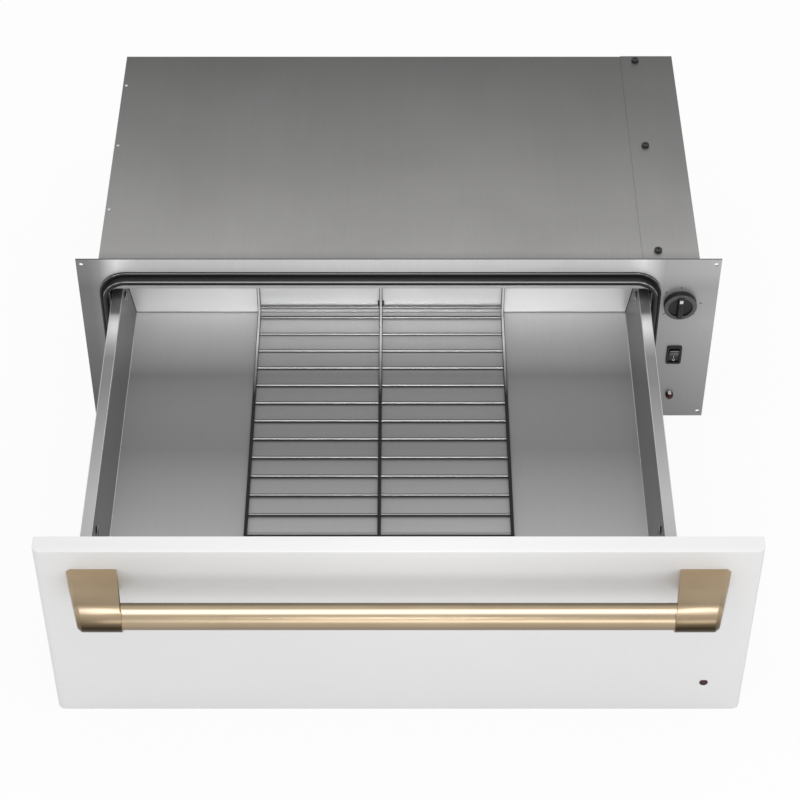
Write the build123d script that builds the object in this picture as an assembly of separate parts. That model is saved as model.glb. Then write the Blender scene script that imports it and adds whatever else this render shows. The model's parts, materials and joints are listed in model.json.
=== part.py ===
from build123d import *
import math
import os

# Built-in warming drawer, drawn with its drawer pulled out to the stop.
# Millimetres. +X is to the right of someone who faces it, +Y goes into the cabinet, +Z is up.
# The origin is the centre of the face frame's four screw holes, on the frame's rear face.

os.makedirs("parts", exist_ok=True)

# ---- driving dimensions ----------------------------------------------------------------
# Face frame: the steel flange that screws to the cabinet's front edge.
frame_width = 754.0
frame_height = 259.0
frame_thickness = 1.5
frame_hole_side = 6.0
frame_hole_end = 8.0
frame_hole_diameter = 4.7
opening_radius = 10.0

# Drawer opening. It sits left of the frame's centre, because the controls take the right end.
opening_left_margin = 35.0
opening_right_margin = 78.0

# Drawer pan.
pan_side_gap = 2.5
pan_top_drop = 54.0
pan_depth = 58.0
pan_lean = 9.3
pan_sheet = 1.0
pan_back_y = 28.5
pan_hole_width = 7.0
pan_hole_height = 12.0
pan_front_hole_gap = 65.0
pan_front_hole_drop = 18.0
pan_back_hole_gap = 20.0
pan_back_hole_drop = 14.0

# Telescopic slides, one each side, between the drawer's rails and the cavity's walls.
slide_length = 430.0
slide_front_y = 4.0
slide_drop = 26.75
slide_sheet = 1.2
slide_inner_half = 11.4
slide_inner_depth = 7.2
slide_ball = 3.0
slide_ball_clearance = 0.3
slide_web_gap = 1.0
slide_side_gap = 2.1
slide_lip_gap = 0.6
slide_lip_step = 0.8
slide_top_gap = 0.75
cage_balls = 8
cage_pitch = 24.0
cage_end = 6.0
cage_width = 4.4
cage_sheet = 0.8
cage_fit = 0.1
rail_sheet = 1.2
rail_top_gap = 7.0
rail_back_gap = 6.0
rail_foot = 24.0
spacer_thickness = 1.3
spacer_length = 30.0
spacer_height = 36.0
spacer_positions = (40.0, 220.0, 400.0)

# Cavity: the inner box that keeps the heat round the drawer, and its insulation.
cavity_head_gap = 8.5
cavity_bottom_margin = 29.5
cavity_floor_step = 3.0
opening_side_gap = 0.5
liner_sheet = 0.8
closed_back_gap = 2.5
roof_insulation = 1.7
floor_insulation = 11.7
back_insulation = 1.5
bay_insulation = 8.0

# Door gasket on the frame's front face: a low bead outside and a tall bulb inside.
gasket_width = 10.5
gasket_side_gap = 0.5
gasket_top_margin = 26.0
gasket_bottom_margin = 13.0
gasket_corner_radius = 33.0
gasket_base_height = 2.0
gasket_bead_width = 3.4
gasket_bead_height = 3.6
gasket_bulb_width = 5.8
gasket_bulb_height = 13.5

# Case of galvanised sheet behind the frame.
case_side_margin = 18.5
sheet = 1.0
case_flange = 14.0
case_flange_at_controls = 4.0
base_lip_gap = 0.7
divider_foot = 8.0
cover_sheet = 0.8
cover_lap = 15.8
cover_drop = 140.0
cover_screw_head_diameter = 9.5
cover_screw_head_height = 3.5
cover_screw_shank_diameter = 4.0
cover_screw_shank_length = 8.0
cover_screw_wall_gap = 0.2
cover_screw_front_y = 60.5
cover_screw_middle_y = 260.5
cover_screw_back_margin = 10.0
rivet_edge = 4.5
rivet_head_diameter = 4.0
rivet_head_height = 0.8
rivet_shank_diameter = 2.8
rivet_pitch = 124.0
rivet_back_margin = 63.0
rivet_count = 3

# Front panel, and how far it is pulled out from the frame's face.
panel_side_overhang = 0.825
panel_thickness = 21.0
panel_drop = 4.0
panel_bottom_overhang = 10.0
panel_edge_radius = 8.8
panel_skin_sheet = 1.5
panel_inner_sheet = 1.0
extension = 426.0
closed_clearance = 0.3

# Controls on the right of the frame.
control_inset = 43.4
knob_drop = 69.0
knob_diameter = 39.0
knob_skirt_height = 8.0
knob_dish_diameter = 28.5
knob_dish_depth = 1.2
knob_bar_width = 8.0
knob_bar_length = 34.0
knob_bar_height = 12.0
knob_gap = 0.6
shaft_diameter = 6.0
shaft_clearance = 0.1
shaft_end_gap = 0.3
shaft_in_knob = 5.0
bushing_diameter = 10.0
bushing_clearance = 0.15
thermostat_width = 39.0
thermostat_height = 42.0
thermostat_depth = 30.0
thermostat_bore_depth = 18.0
blade_thickness = 0.8
blade_width = 6.2
blade_length = 8.0
thermostat_blade_spacing = 20.0
rocker_drop = 84.5
rocker_bezel_corner = 3.0
rocker_bezel_width = 18.5
rocker_bezel_height = 29.0
rocker_bezel_depth = 2.2
rocker_body_width = 15.5
rocker_body_height = 25.5
rocker_body_depth = 20.0
rocker_well_depth = 13.0
rocker_wall = 1.2
rocker_side_clearance = 0.4
rocker_end_clearance = 1.0
rocker_proud = 2.4
rocker_sunk = 0.8
rocker_top_set_back = 1.2
rocker_pivot_depth = 3.0
rocker_pin_diameter = 2.0
rocker_pin_clearance = 0.1
rocker_blade_spacing = 16.0
rocker_rib_count = 3
rocker_rib_pitch = 2.8
rocker_rib_diameter = 1.0
lamp_rise = 38.0
lamp_lens_diameter = 9.6
lamp_proud = 7.0
lamp_body_diameter = 8.0
lamp_body_depth = 24.0
lamp_nut_radius = 7.0
lamp_nut_height = 3.0
lamp_blade_spacing = 4.0
lamp_blade_width = 2.8
window_diameter = 9.6
window_clearance = 0.1
window_proud = 0.6

# Handle.
handle_inset = 32.825
handle_drop = 27.0
handle_standoff = 50.0
handle_tube_diameter = 28.0
handle_tube_wall = 2.0
handle_nose_wall = 2.2
handle_bracket_width = 53.0
handle_outer_lean = 18.0
handle_inner_lean = 10.0
handle_chamfer = 4.0
handle_socket_depth = 12.0
handle_fit = 0.1
handle_screw_diameter = 5.0
handle_screw_head_diameter = 9.0
handle_screw_head_height = 2.5
handle_screw_depth = 14.0
handle_screw_spacing = 26.0

# Heating element under the drawer, and the posts that carry it.
element_diameter = 8.0
element_rise = 30.0
element_left_gap = 61.5
element_right_gap = 53.5
element_front_y = 70.0
element_back_gap = 49.2
element_run_pitch = 65.0
element_bend = 32.0
element_clearance = 0.3
element_tail = 16.0
terminal_pin_diameter = 3.0
terminal_pin_length = 10.0
element_post_width = 16.0
element_post_thickness = 6.0
element_post_inset = 143.0
element_post_rim = 3.0

# Thermostat's sensing bulb and its capillary.
bulb_diameter = 5.0
bulb_length = 80.0
bulb_front_y = 105.0
bulb_drop = 20.3
bulb_wall_gap = 9.0
capillary_diameter = 2.0
capillary_clearance = 0.3
capillary_bend = 14.0
capillary_end_bend = 7.0
capillary_y = 20.0
capillary_cross_y = 62.0
bulb_clip_width = 8.0
bulb_clip_wall = 1.5
bulb_clip_inset = 15.0

# Supply connection at the back of the control bay.
supply_rise = 77.5
supply_bore_diameter = 14.0
supply_hole_diameter = 19.0
supply_fit = 0.1
supply_flange_diameter = 25.0
supply_flange_thickness = 2.0
supply_inner_length = 6.0
terminal_width = 30.0
terminal_depth = 34.0
terminal_height = 18.0
terminal_well_diameter = 6.6
terminal_well_depth = 5.0
terminal_rib_width = 1.2
terminal_rib_height = 2.0
terminal_screw_diameter = 5.0
terminal_slot_width = 0.8
terminal_slot_depth = 1.0
terminal_screw_height = 2.4
terminal_pitch = 10.0
wire_diameter = 2.2
wire_bend = 6.0
wire_rise = 12.0

# Wire rack on the pan's floor.
rack_pitch = 146.3
rack_long_diameter = 4.0
rack_cross_diameter = 3.5
rack_cross_pitch = 29.0
rack_cross_count = 16
rack_last_cross_gap = 11.0
rack_rise = 46.0
rack_bend = 5.0
rack_front_gap = 6.0
rack_wall_cross_rise = 5.0
rack_touch = 0.02
retainer_diameter = 8.0
retainer_rise = 17.0

# Screws that hold the pan to the front panel.
panel_screw_diameter = 4.0
panel_screw_head_diameter = 8.0
panel_screw_head_height = 2.2
panel_screw_spacing = 480.0
panel_screw_margin = 10.0
panel_screw_reach = 7.0

# ---- places worked out from them -------------------------------------------------------
frame_top_z = frame_height / 2
frame_bottom_z = -frame_height / 2
frame_front_y = -frame_thickness
panel_back_y = frame_front_y - extension
panel_front_y = panel_back_y - panel_thickness
panel_width = frame_width + 2 * panel_side_overhang
panel_top_z = frame_top_z - panel_drop
panel_bottom_z = frame_bottom_z - panel_bottom_overhang
travel = extension - gasket_bulb_height - closed_clearance

# Opening and slides, from the outside in: distances from the drawer's middle plane.
drawer_centre_x = (opening_left_margin - opening_right_margin) / 2
opening_half_width = (frame_width - opening_left_margin - opening_right_margin) / 2
cavity_half_width = opening_half_width - opening_side_gap
slide_back = cavity_half_width - spacer_thickness
outer_web = slide_back - slide_sheet
middle_web = outer_web - slide_side_gap - slide_sheet
inner_tip = middle_web - slide_web_gap
inner_web = inner_tip - slide_inner_depth
middle_tip = inner_web + slide_sheet + slide_lip_gap
outer_tip = middle_tip + slide_lip_step
rail_outer = inner_web
rail_inner = rail_outer - rail_sheet

# The pan's mouth fits between the rails.
pan_mouth_half = rail_inner
pan_half_width = cavity_half_width - pan_side_gap
pan_front_y = panel_back_y
pan_top_z = frame_top_z - pan_top_drop
pan_floor_z = pan_top_z - pan_depth
pan_floor_half = pan_mouth_half - pan_lean
pan_slope = pan_lean / pan_depth
rail_top_z = pan_top_z - rail_top_gap
rail_bottom_z = pan_floor_z - pan_sheet - rail_sheet

# Heights and lengths of the slides.
slide_z = pan_top_z - slide_drop
ball_space = slide_ball + 2 * slide_ball_clearance
middle_half = slide_inner_half + ball_space + slide_sheet
outer_half = middle_half + ball_space + slide_sheet
ball_offset = (inner_web + slide_sheet + inner_tip) / 2
cage_length = cage_pitch * (cage_balls - 1) + 2 * cage_end
cage_closed_y = slide_front_y + (slide_length - cage_length) / 2

pan_lip_z = slide_z + outer_half + slide_top_gap
cavity_top_z = pan_top_z + cavity_head_gap
cavity_bottom_z = frame_bottom_z + cavity_bottom_margin
opening_bottom_z = cavity_bottom_z + cavity_floor_step
cavity_left_x = drawer_centre_x - cavity_half_width
cavity_right_x = drawer_centre_x + cavity_half_width
cavity_back_y = pan_back_y + pan_sheet + travel + closed_back_gap
liner_left_x = cavity_left_x - liner_sheet
liner_right_x = cavity_right_x + liner_sheet
liner_top_z = cavity_top_z + liner_sheet
liner_bottom_z = cavity_bottom_z - liner_sheet
liner_back_y = cavity_back_y + liner_sheet
divider_x = liner_right_x + bay_insulation
bay_left_x = divider_x + sheet

gasket_top_z = cavity_top_z + gasket_top_margin
gasket_bottom_z = opening_bottom_z - gasket_bottom_margin
gasket_outer_half = opening_half_width + gasket_side_gap + gasket_width

case_left_x = -frame_width / 2 + case_side_margin
case_right_x = frame_width / 2 - case_side_margin
case_roof_z = liner_top_z + roof_insulation
case_top_z = case_roof_z + sheet
case_floor_z = liner_bottom_z - floor_insulation
case_bottom_z = case_floor_z - sheet
case_back_y = liner_back_y + back_insulation + sheet
case_depth = case_back_y + sheet
top_plate_end_x = divider_x + case_flange
cover_screw_x = bay_left_x + cover_screw_shank_diameter / 2 + cover_screw_wall_gap

control_x = frame_width / 2 - control_inset
knob_z = frame_top_z - knob_drop
rocker_z = knob_z - rocker_drop
lamp_z = frame_bottom_z + lamp_rise
supply_z = frame_bottom_z + supply_rise
rocker_front_y = frame_front_y - rocker_bezel_depth
rocker_pivot_y = frame_front_y + rocker_pivot_depth

handle_outer_x = panel_width / 2 - handle_inset
handle_inner_x = handle_outer_x - handle_bracket_width
handle_nose_radius = handle_tube_diameter / 2 + handle_nose_wall
handle_axis_y = panel_front_y - handle_standoff
handle_axis_z = panel_top_z - handle_drop - handle_nose_radius
handle_tube_half = handle_inner_x - handle_inner_lean + handle_socket_depth

element_z = cavity_bottom_z + element_rise
element_left_x = cavity_left_x + element_left_gap
element_right_x = cavity_right_x - element_right_gap
element_back_y = cavity_back_y - element_back_gap
element_inner_back_y = element_back_y - element_run_pitch
element_inner_front_y = element_front_y + element_run_pitch
element_tail_x = bay_left_x + element_tail
bulb_x = cavity_right_x - bulb_wall_gap
bulb_z = rail_bottom_z - bulb_drop
terminal_y = element_back_y
terminal_top_z = case_floor_z + terminal_height

rack_weld_gap = (rack_long_diameter + rack_cross_diameter) / 2 + rack_touch
rack_cross_z = pan_floor_z + rack_cross_diameter / 2 + rack_touch
rack_long_z = rack_cross_z + rack_weld_gap
rack_wall_cross_y = pan_back_y - rack_cross_diameter / 2 - rack_touch
rack_wall_y = rack_wall_cross_y - rack_weld_gap
rack_end_y = pan_front_y + pan_sheet + rack_front_gap


# ---- helpers ---------------------------------------------------------------------------
def block(x, y, z):
    """A box between pairs of values along X, Y and Z."""
    size = [abs(b - a) for a, b in (x, y, z)]
    centre = [(a + b) / 2 for a, b in (x, y, z)]
    return Pos(*centre) * Box(*size)


def about(centre, half):
    """The pair of values on either side of a centre."""
    return (centre - half, centre + half)


def facing(profile, y_front, y_back):
    """A profile in X and Z, as seen from the front, made solid between two Y values."""
    plane = Plane(origin=(0, y_back, 0), x_dir=(1, 0, 0), z_dir=(0, -1, 0))
    return extrude(plane * profile, amount=y_back - y_front, dir=(0, -1, 0))


def sideways(profile, x_low, x_high):
    """A profile in Y and Z, as seen from the right, made solid between two X values."""
    plane = Plane(origin=(x_low, 0, 0), x_dir=(0, 1, 0), z_dir=(1, 0, 0))
    return extrude(plane * profile, amount=x_high - x_low, dir=(1, 0, 0))


def rod_x(y, z, diameter, x_low, x_high):
    return sideways(Pos(y, z) * Circle(diameter / 2), x_low, x_high)


def rod_y(x, z, diameter, y_front, y_back):
    return facing(Pos(x, z) * Circle(diameter / 2), y_front, y_back)


def rod_z(x, y, diameter, z_low, z_high):
    return Pos(x, y, (z_low + z_high) / 2) * Cylinder(diameter / 2, z_high - z_low)


def front_edges(shape):
    return shape.faces().sort_by(Axis.Y)[0].edges()


def on_drawer(offset, other):
    """Two distances from the drawer's middle plane, as X values."""
    return (drawer_centre_x + offset, drawer_centre_x + other)


def drawer_outline(half_width, z_low, z_high, radius):
    """A rounded rectangle in X and Z, centred on the drawer."""
    shape = RectangleRounded(2 * half_width, z_high - z_low, radius)
    return Pos(drawer_centre_x, (z_low + z_high) / 2) * shape


def bar_along(points, bend, diameter):
    """A round bar that follows straight runs joined by arcs."""
    path = FilletPolyline(*points, radius=bend)
    start = Plane(origin=path @ 0, z_dir=path % 0)
    return sweep(start * Circle(diameter / 2), path=path)


def mirrored(shape):
    """The same piece on the other side of the drawer's middle plane."""
    return mirror(shape, about=Plane(origin=(drawer_centre_x, 0, 0), z_dir=(1, 0, 0)))


def group(pieces):
    """Several separate solids that share one file."""
    return Compound(children=[solid for piece in pieces for solid in piece.solids()])


def cross_slot(x, z, seat_y, height, reach):
    """A cross recess in the back of a screw head that faces +Y."""
    deep = (seat_y + height / 2, seat_y + height + 1)
    return block(about(x, reach), deep, about(z, 0.45)) + block(about(x, 0.45), deep, about(z, reach))


# ---- face frame and gasket -------------------------------------------------------------
def frame_holes():
    return [(sx * (frame_width / 2 - frame_hole_side), sz * (frame_height / 2 - frame_hole_end))
            for sx in (-1, 1) for sz in (-1, 1)]


def face_frame():
    through = (frame_front_y - 1, 1)
    plate = facing(Rectangle(frame_width, frame_height), frame_front_y, 0)
    opening = drawer_outline(opening_half_width, opening_bottom_z, cavity_top_z, opening_radius)
    plate -= facing(opening, *through)
    for x, z in frame_holes():
        plate -= rod_y(x, z, frame_hole_diameter, *through)
    plate -= rod_y(control_x, knob_z, bushing_diameter + 2 * bushing_clearance, *through)
    plate -= rod_y(control_x, lamp_z, lamp_body_diameter, *through)
    plate -= block(about(control_x, rocker_body_width / 2), through, about(rocker_z, rocker_body_height / 2))
    return plate


def gasket_ring(inset, width, height):
    """One ring of the gasket, with this inset from its outer edge."""
    outer_half = gasket_outer_half - inset
    low, high = gasket_bottom_z + inset, gasket_top_z - inset
    radius = gasket_corner_radius - inset
    outer = drawer_outline(outer_half, low, high, radius)
    inner = drawer_outline(outer_half - width, low + width, high - width, radius - width)
    return facing(outer - inner, frame_front_y - height, frame_front_y)


def door_gasket():
    base = gasket_ring(0, gasket_width, gasket_base_height)
    bead = gasket_ring(0, gasket_bead_width, gasket_bead_height)
    bead = fillet(front_edges(bead), 0.4 * gasket_bead_width)
    bulb = gasket_ring(gasket_width - gasket_bulb_width, gasket_bulb_width, gasket_bulb_height)
    bulb = fillet(front_edges(bulb), 0.45 * gasket_bulb_width)
    return base + bead + bulb


# ---- case ------------------------------------------------------------------------------
def case_side(outer_x, inward, front_flange, top_z):
    """A side plate with flanges turned in at the front, the top and the back."""
    inner_x = outer_x + inward * sheet
    flange = (inner_x, inner_x + inward * case_flange)
    plate = block((outer_x, inner_x), (0, case_back_y), (case_floor_z, top_z))
    front = block((inner_x, inner_x + inward * front_flange), (0, sheet), (case_floor_z, top_z))
    top = block(flange, (sheet, case_back_y), (top_z - sheet, top_z))
    back = block(flange, (case_back_y - sheet, case_back_y), (case_floor_z, top_z - sheet))
    return plate + front + top + back


def case_left_side():
    return case_side(case_left_x, 1, case_flange, case_roof_z)


def case_right_side():
    return case_side(case_right_x, -1, case_flange_at_controls, case_top_z)


def case_base():
    plate = block((case_left_x, case_right_x), (0, case_back_y), (case_bottom_z, case_floor_z))
    lip_x = (case_left_x + sheet + case_flange, case_right_x - sheet - case_flange)
    lip_z = (case_floor_z, liner_bottom_z - base_lip_gap)
    front = block(lip_x, (0, sheet), lip_z)
    back = block(lip_x, (case_back_y - sheet, case_back_y), lip_z)
    return plate + front + back


def cover_screw_places():
    return (cover_screw_front_y, cover_screw_middle_y, case_depth - cover_screw_back_margin)


def rivet_places():
    return [case_depth - rivet_back_margin - rivet_pitch * i for i in range(rivet_count)]


def case_top():
    plate = block((case_left_x, top_plate_end_x), (0, case_depth), (case_roof_z, case_top_z))
    for y in cover_screw_places():
        plate -= rod_z(cover_screw_x, y, cover_screw_shank_diameter, case_roof_z - 1, case_top_z + 1)
    for y in rivet_places():
        plate -= rod_z(case_left_x + rivet_edge, y, rivet_shank_diameter, case_roof_z - 1, case_top_z + 1)
    return plate


def control_bay_cover():
    """A folded cover over the control bay: it laps the top plate and turns down at the right and the back."""
    outer_x = case_right_x + cover_sheet
    cover = block((divider_x - cover_lap, outer_x), (0, case_depth), (case_top_z, case_top_z + cover_sheet))
    cover += block((case_right_x, outer_x), (0, case_depth), (case_top_z - cover_drop, case_top_z))
    cover += block((top_plate_end_x, case_right_x), (case_back_y, case_depth), (case_roof_z, case_top_z))
    for y in cover_screw_places():
        cover -= rod_z(cover_screw_x, y, cover_screw_shank_diameter, case_top_z - 1, case_top_z + 2)
    return cover


def case_back():
    plate = block((case_left_x, case_right_x), (case_back_y, case_depth), (case_bottom_z, case_roof_z))
    return plate - rod_y(control_x, supply_z, supply_hole_diameter, case_back_y - 1, case_depth + 1)


def bay_divider():
    """The wall between the warm cavity and the control bay, with a head flange and a foot."""
    y = (sheet, case_back_y - sheet)
    divider = block((divider_x, bay_left_x), y, (case_floor_z, case_roof_z))
    divider += block((bay_left_x, top_plate_end_x), y, (case_roof_z - sheet, case_roof_z))
    divider += block((bay_left_x, divider_x + divider_foot), y, (case_floor_z, case_floor_z + sheet))
    for screw_y in cover_screw_places():
        divider -= rod_z(cover_screw_x, screw_y, cover_screw_shank_diameter, case_roof_z - 2, case_roof_z + 1)
    return divider - warm_wall_holes(divider_x - 1, bay_left_x + 1)


def cover_screws():
    seat = case_top_z + cover_sheet
    top = seat + cover_screw_head_height
    screws = []
    for y in cover_screw_places():
        head = rod_z(cover_screw_x, y, cover_screw_head_diameter, seat, top)
        head = fillet(head.edges().group_by(Axis.Z)[-1], 1.2)
        shank = rod_z(cover_screw_x, y, cover_screw_shank_diameter, seat - cover_screw_shank_length, seat)
        recess = (top - 1.2, top + 1)
        slot = block(about(cover_screw_x, 2.5), about(y, 0.5), recess)
        slot += block(about(cover_screw_x, 0.5), about(y, 2.5), recess)
        screws.append(head + shank - slot)
    return group(screws)


def case_rivets():
    x = case_left_x + rivet_edge
    rivets = []
    for y in rivet_places():
        head = rod_z(x, y, rivet_head_diameter, case_top_z, case_top_z + rivet_head_height)
        head = fillet(head.edges().group_by(Axis.Z)[-1], 0.5)
        rivets.append(head + rod_z(x, y, rivet_shank_diameter, case_roof_z, case_top_z))
    return group(rivets)


# ---- cavity and insulation -------------------------------------------------------------
def warm_wall_holes(x_low, x_high):
    """Clearance where the element's two ends and the capillary leave the cavity."""
    bore = element_diameter + 2 * element_clearance
    holes = rod_x(element_back_y, element_z, bore, x_low, x_high)
    holes += rod_x(element_inner_back_y, element_z, bore, x_low, x_high)
    thin = capillary_diameter + 2 * capillary_clearance
    return holes + rod_x(capillary_cross_y, bulb_z, thin, x_low, x_high)


def cavity_liner():
    """Roof, walls and floor of the warm cavity, folded from sheet."""
    outer = block((liner_left_x, liner_right_x), (0, cavity_back_y), (liner_bottom_z, liner_top_z))
    inner = block((cavity_left_x, cavity_right_x), (-1, cavity_back_y + 1), (cavity_bottom_z, cavity_top_z))
    return outer - inner - warm_wall_holes(cavity_right_x - 1, liner_right_x + 1)


def cavity_back():
    return block((liner_left_x, liner_right_x), (cavity_back_y, liner_back_y), (liner_bottom_z, liner_top_z))


def insulation_left():
    x = (case_left_x + sheet, liner_left_x)
    return block(x, (sheet, liner_back_y), (liner_bottom_z, case_roof_z - sheet))


def insulation_right():
    pad = block((liner_right_x, divider_x), (sheet, liner_back_y), (liner_bottom_z, case_roof_z))
    return pad - warm_wall_holes(liner_right_x - 1, divider_x + 1)


def insulation_roof():
    return block((liner_left_x, liner_right_x), (sheet, liner_back_y), (liner_top_z, case_roof_z))


def insulation_floor():
    x = (case_left_x + sheet, divider_x)
    return block(x, (sheet, liner_back_y), (case_floor_z, liner_bottom_z))


def insulation_back():
    x = (case_left_x + sheet, divider_x)
    return block(x, (liner_back_y, case_back_y - sheet), (case_floor_z, case_roof_z - sheet))


# ---- heating element and sensing bulb --------------------------------------------------
def heating_element():
    """A sheathed rod that runs round the cavity twice; both its ends go out to the right."""
    inner_left_x = element_left_x + element_run_pitch
    corners = [
        (element_tail_x, element_back_y), (element_left_x, element_back_y),
        (element_left_x, element_front_y), (element_right_x, element_front_y),
        (element_right_x, element_inner_front_y), (inner_left_x, element_inner_front_y),
        (inner_left_x, element_inner_back_y), (element_tail_x, element_inner_back_y),
    ]
    rod = bar_along([(x, y, element_z) for x, y in corners], element_bend, element_diameter)
    for y in (element_back_y, element_inner_back_y):
        rod += rod_x(y, element_z, terminal_pin_diameter,
                     element_tail_x, element_tail_x + terminal_pin_length)
    return rod


def element_posts():
    """Sheet posts on the cavity's floor: each carries two runs of the element."""
    rim = element_post_rim
    top = element_z + element_diameter / 2 + rim
    bore = element_diameter + 2 * element_clearance
    posts = []
    for x in (element_left_x + element_post_inset, element_right_x - element_post_inset):
        for low, high in ((element_front_y, element_inner_front_y), (element_inner_back_y, element_back_y)):
            span = about((low + high) / 2, (high - low + element_post_width) / 2)
            gap = about((low + high) / 2, (high - low - element_post_width) / 2)
            post = block(about(x, element_post_thickness / 2), span, (cavity_bottom_z, top))
            post -= block(about(x, element_post_thickness), gap, (cavity_bottom_z + rim, top - rim))
            for y in (low, high):
                post -= rod_x(y, element_z, bore, x - element_post_thickness, x + element_post_thickness)
            posts.append(post)
    return group(posts)


def sensing_bulb():
    return rod_y(bulb_x, bulb_z, bulb_diameter, bulb_front_y, bulb_front_y + bulb_length)


def capillary():
    start_z = knob_z - thermostat_height / 2
    points = [
        (control_x, capillary_y, start_z), (control_x, capillary_y, bulb_z),
        (control_x, capillary_cross_y, bulb_z), (bulb_x, capillary_cross_y, bulb_z),
        (bulb_x, bulb_front_y, bulb_z),
    ]
    return bar_along(points, [capillary_bend, capillary_bend, capillary_end_bend], capillary_diameter)


def bulb_clips():
    reach = bulb_diameter / 2 + bulb_clip_wall
    clips = []
    for y in (bulb_front_y + bulb_clip_inset, bulb_front_y + bulb_length - bulb_clip_inset):
        clip = block((bulb_x - reach, cavity_right_x), about(y, bulb_clip_width / 2), about(bulb_z, reach))
        clips.append(clip - rod_y(bulb_x, bulb_z, bulb_diameter, y - bulb_clip_width, y + bulb_clip_width))
    return group(clips)


# ---- controls --------------------------------------------------------------------------
def control_knob():
    back = frame_front_y - knob_gap
    skirt_front = frame_front_y - knob_skirt_height
    skirt = rod_y(control_x, knob_z, knob_diameter, skirt_front, back)
    skirt = chamfer(front_edges(skirt), 2.0)
    dish = rod_y(control_x, knob_z, knob_dish_diameter, skirt_front - 1, skirt_front + knob_dish_depth)
    bar_y = (frame_front_y - knob_bar_height, skirt_front + knob_dish_depth + 1)
    bar = block(about(control_x, knob_bar_width / 2), bar_y, about(knob_z, knob_bar_length / 2))
    bar = fillet(front_edges(bar), 1.5)
    return skirt - dish + bar - rod_y(control_x, knob_z, shaft_diameter, back - shaft_in_knob, back + 1)


def knob_shaft():
    front = frame_front_y - knob_gap - shaft_in_knob
    return rod_y(control_x, knob_z, shaft_diameter, front, thermostat_bore_depth - shaft_end_gap)


def thermostat_blades():
    step = thermostat_blade_spacing / 2
    return [(control_x + sx * step, knob_z + sz * step) for sx in (-1, 1) for sz in (-1, 1)]


def thermostat_body():
    """The control behind the knob: a square body, with a bushing that comes through the frame."""
    body = block(about(control_x, thermostat_width / 2), (0, thermostat_depth),
                 about(knob_z, thermostat_height / 2))
    body = fillet(body.edges().filter_by(Axis.Y), 3.0)
    body += rod_y(control_x, knob_z, bushing_diameter, frame_front_y, 1)
    bore = shaft_diameter + 2 * shaft_clearance
    body -= rod_y(control_x, knob_z, bore, frame_front_y - 1, thermostat_bore_depth)
    blade_y = (thermostat_depth, thermostat_depth + blade_length)
    for x, z in thermostat_blades():
        body += block(about(x, blade_thickness / 2), blade_y, about(z, blade_width / 2))
    return body


def rocker_blades():
    return [rocker_z + side * rocker_blade_spacing / 2 for side in (-1, 1)]


def rocker_housing():
    half_width, half_height = rocker_body_width / 2, rocker_body_height / 2
    bezel = block(about(control_x, rocker_bezel_width / 2), (rocker_front_y, frame_front_y),
                  about(rocker_z, rocker_bezel_height / 2))
    bezel = fillet(bezel.edges().filter_by(Axis.Y), rocker_bezel_corner)
    housing = fillet(front_edges(bezel), 0.8)
    housing += block(about(control_x, half_width), (frame_front_y, rocker_body_depth),
                     about(rocker_z, half_height))
    housing -= block(about(control_x, half_width - rocker_wall), (rocker_front_y - 1, rocker_well_depth),
                     about(rocker_z, half_height - rocker_wall))
    housing -= rod_x(rocker_pivot_y, rocker_z, rocker_pin_diameter + 2 * rocker_pin_clearance,
                     control_x - half_width - 1, control_x + half_width + 1)
    blade_y = (rocker_body_depth, rocker_body_depth + blade_length)
    for z in rocker_blades():
        housing += block(about(control_x, blade_width / 2), blade_y, about(z, blade_thickness / 2))
    return housing


def rocker_paddle():
    """The paddle at rest: its upper half stands proud of the bezel and its lower half is pressed in."""
    half_tall = rocker_body_height / 2 - rocker_wall - rocker_end_clearance
    half_wide = rocker_body_width / 2 - rocker_wall - rocker_side_clearance
    knee_y = rocker_front_y + 0.4
    top = (rocker_front_y - rocker_proud, half_tall - rocker_top_set_back)
    bottom = (rocker_front_y + rocker_sunk, -half_tall)
    profile = Polygon(
        top, (knee_y, 0), bottom, (rocker_pivot_y + 2.0, -half_tall + 3.0),
        (rocker_pivot_y + 4.0, 0), (rocker_pivot_y + 1.0, half_tall - 2.0), align=None,
    )
    paddle = sideways(Pos(0, rocker_z) * profile, control_x - half_wide, control_x + half_wide)
    pin_half = rocker_body_width / 2 - rocker_pin_clearance
    paddle += rod_x(rocker_pivot_y, rocker_z, rocker_pin_diameter, control_x - pin_half, control_x + pin_half)
    slope_y, slope_z = top[0] - knee_y, top[1]
    run = math.hypot(slope_y, slope_z)
    for i in range(rocker_rib_count):
        share = (run - 1.6 - i * rocker_rib_pitch) / run
        paddle += rod_x(knee_y + share * slope_y, rocker_z + share * slope_z, rocker_rib_diameter,
                        control_x - half_wide + 1, control_x + half_wide - 1)
    return paddle


def lamp_body():
    body = rod_y(control_x, lamp_z, lamp_body_diameter, frame_front_y, lamp_body_depth)
    body += facing(Pos(control_x, lamp_z) * RegularPolygon(lamp_nut_radius, 6), 0, lamp_nut_height)
    blade_y = (lamp_body_depth, lamp_body_depth + blade_length)
    for side in (-1, 1):
        x = control_x + side * lamp_blade_spacing / 2
        body += block(about(x, blade_thickness / 2), blade_y, about(lamp_z, lamp_blade_width / 2))
    return body


def lamp_lens():
    lens = rod_y(control_x, lamp_z, lamp_lens_diameter, frame_front_y - lamp_proud, frame_front_y)
    return fillet(front_edges(lens), 0.4 * lamp_lens_diameter)


# ---- supply connection and wiring ------------------------------------------------------
def supply_bushing():
    """Snap bushing in the case's back, where the supply cord goes in."""
    inner_y = case_back_y - supply_inner_length
    outer_y = case_depth + supply_flange_thickness
    bushing = rod_y(control_x, supply_z, supply_flange_diameter, case_depth, outer_y)
    bushing += rod_y(control_x, supply_z, supply_hole_diameter - 2 * supply_fit, inner_y, case_depth)
    return bushing - rod_y(control_x, supply_z, supply_bore_diameter, inner_y - 1, outer_y + 1)


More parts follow.
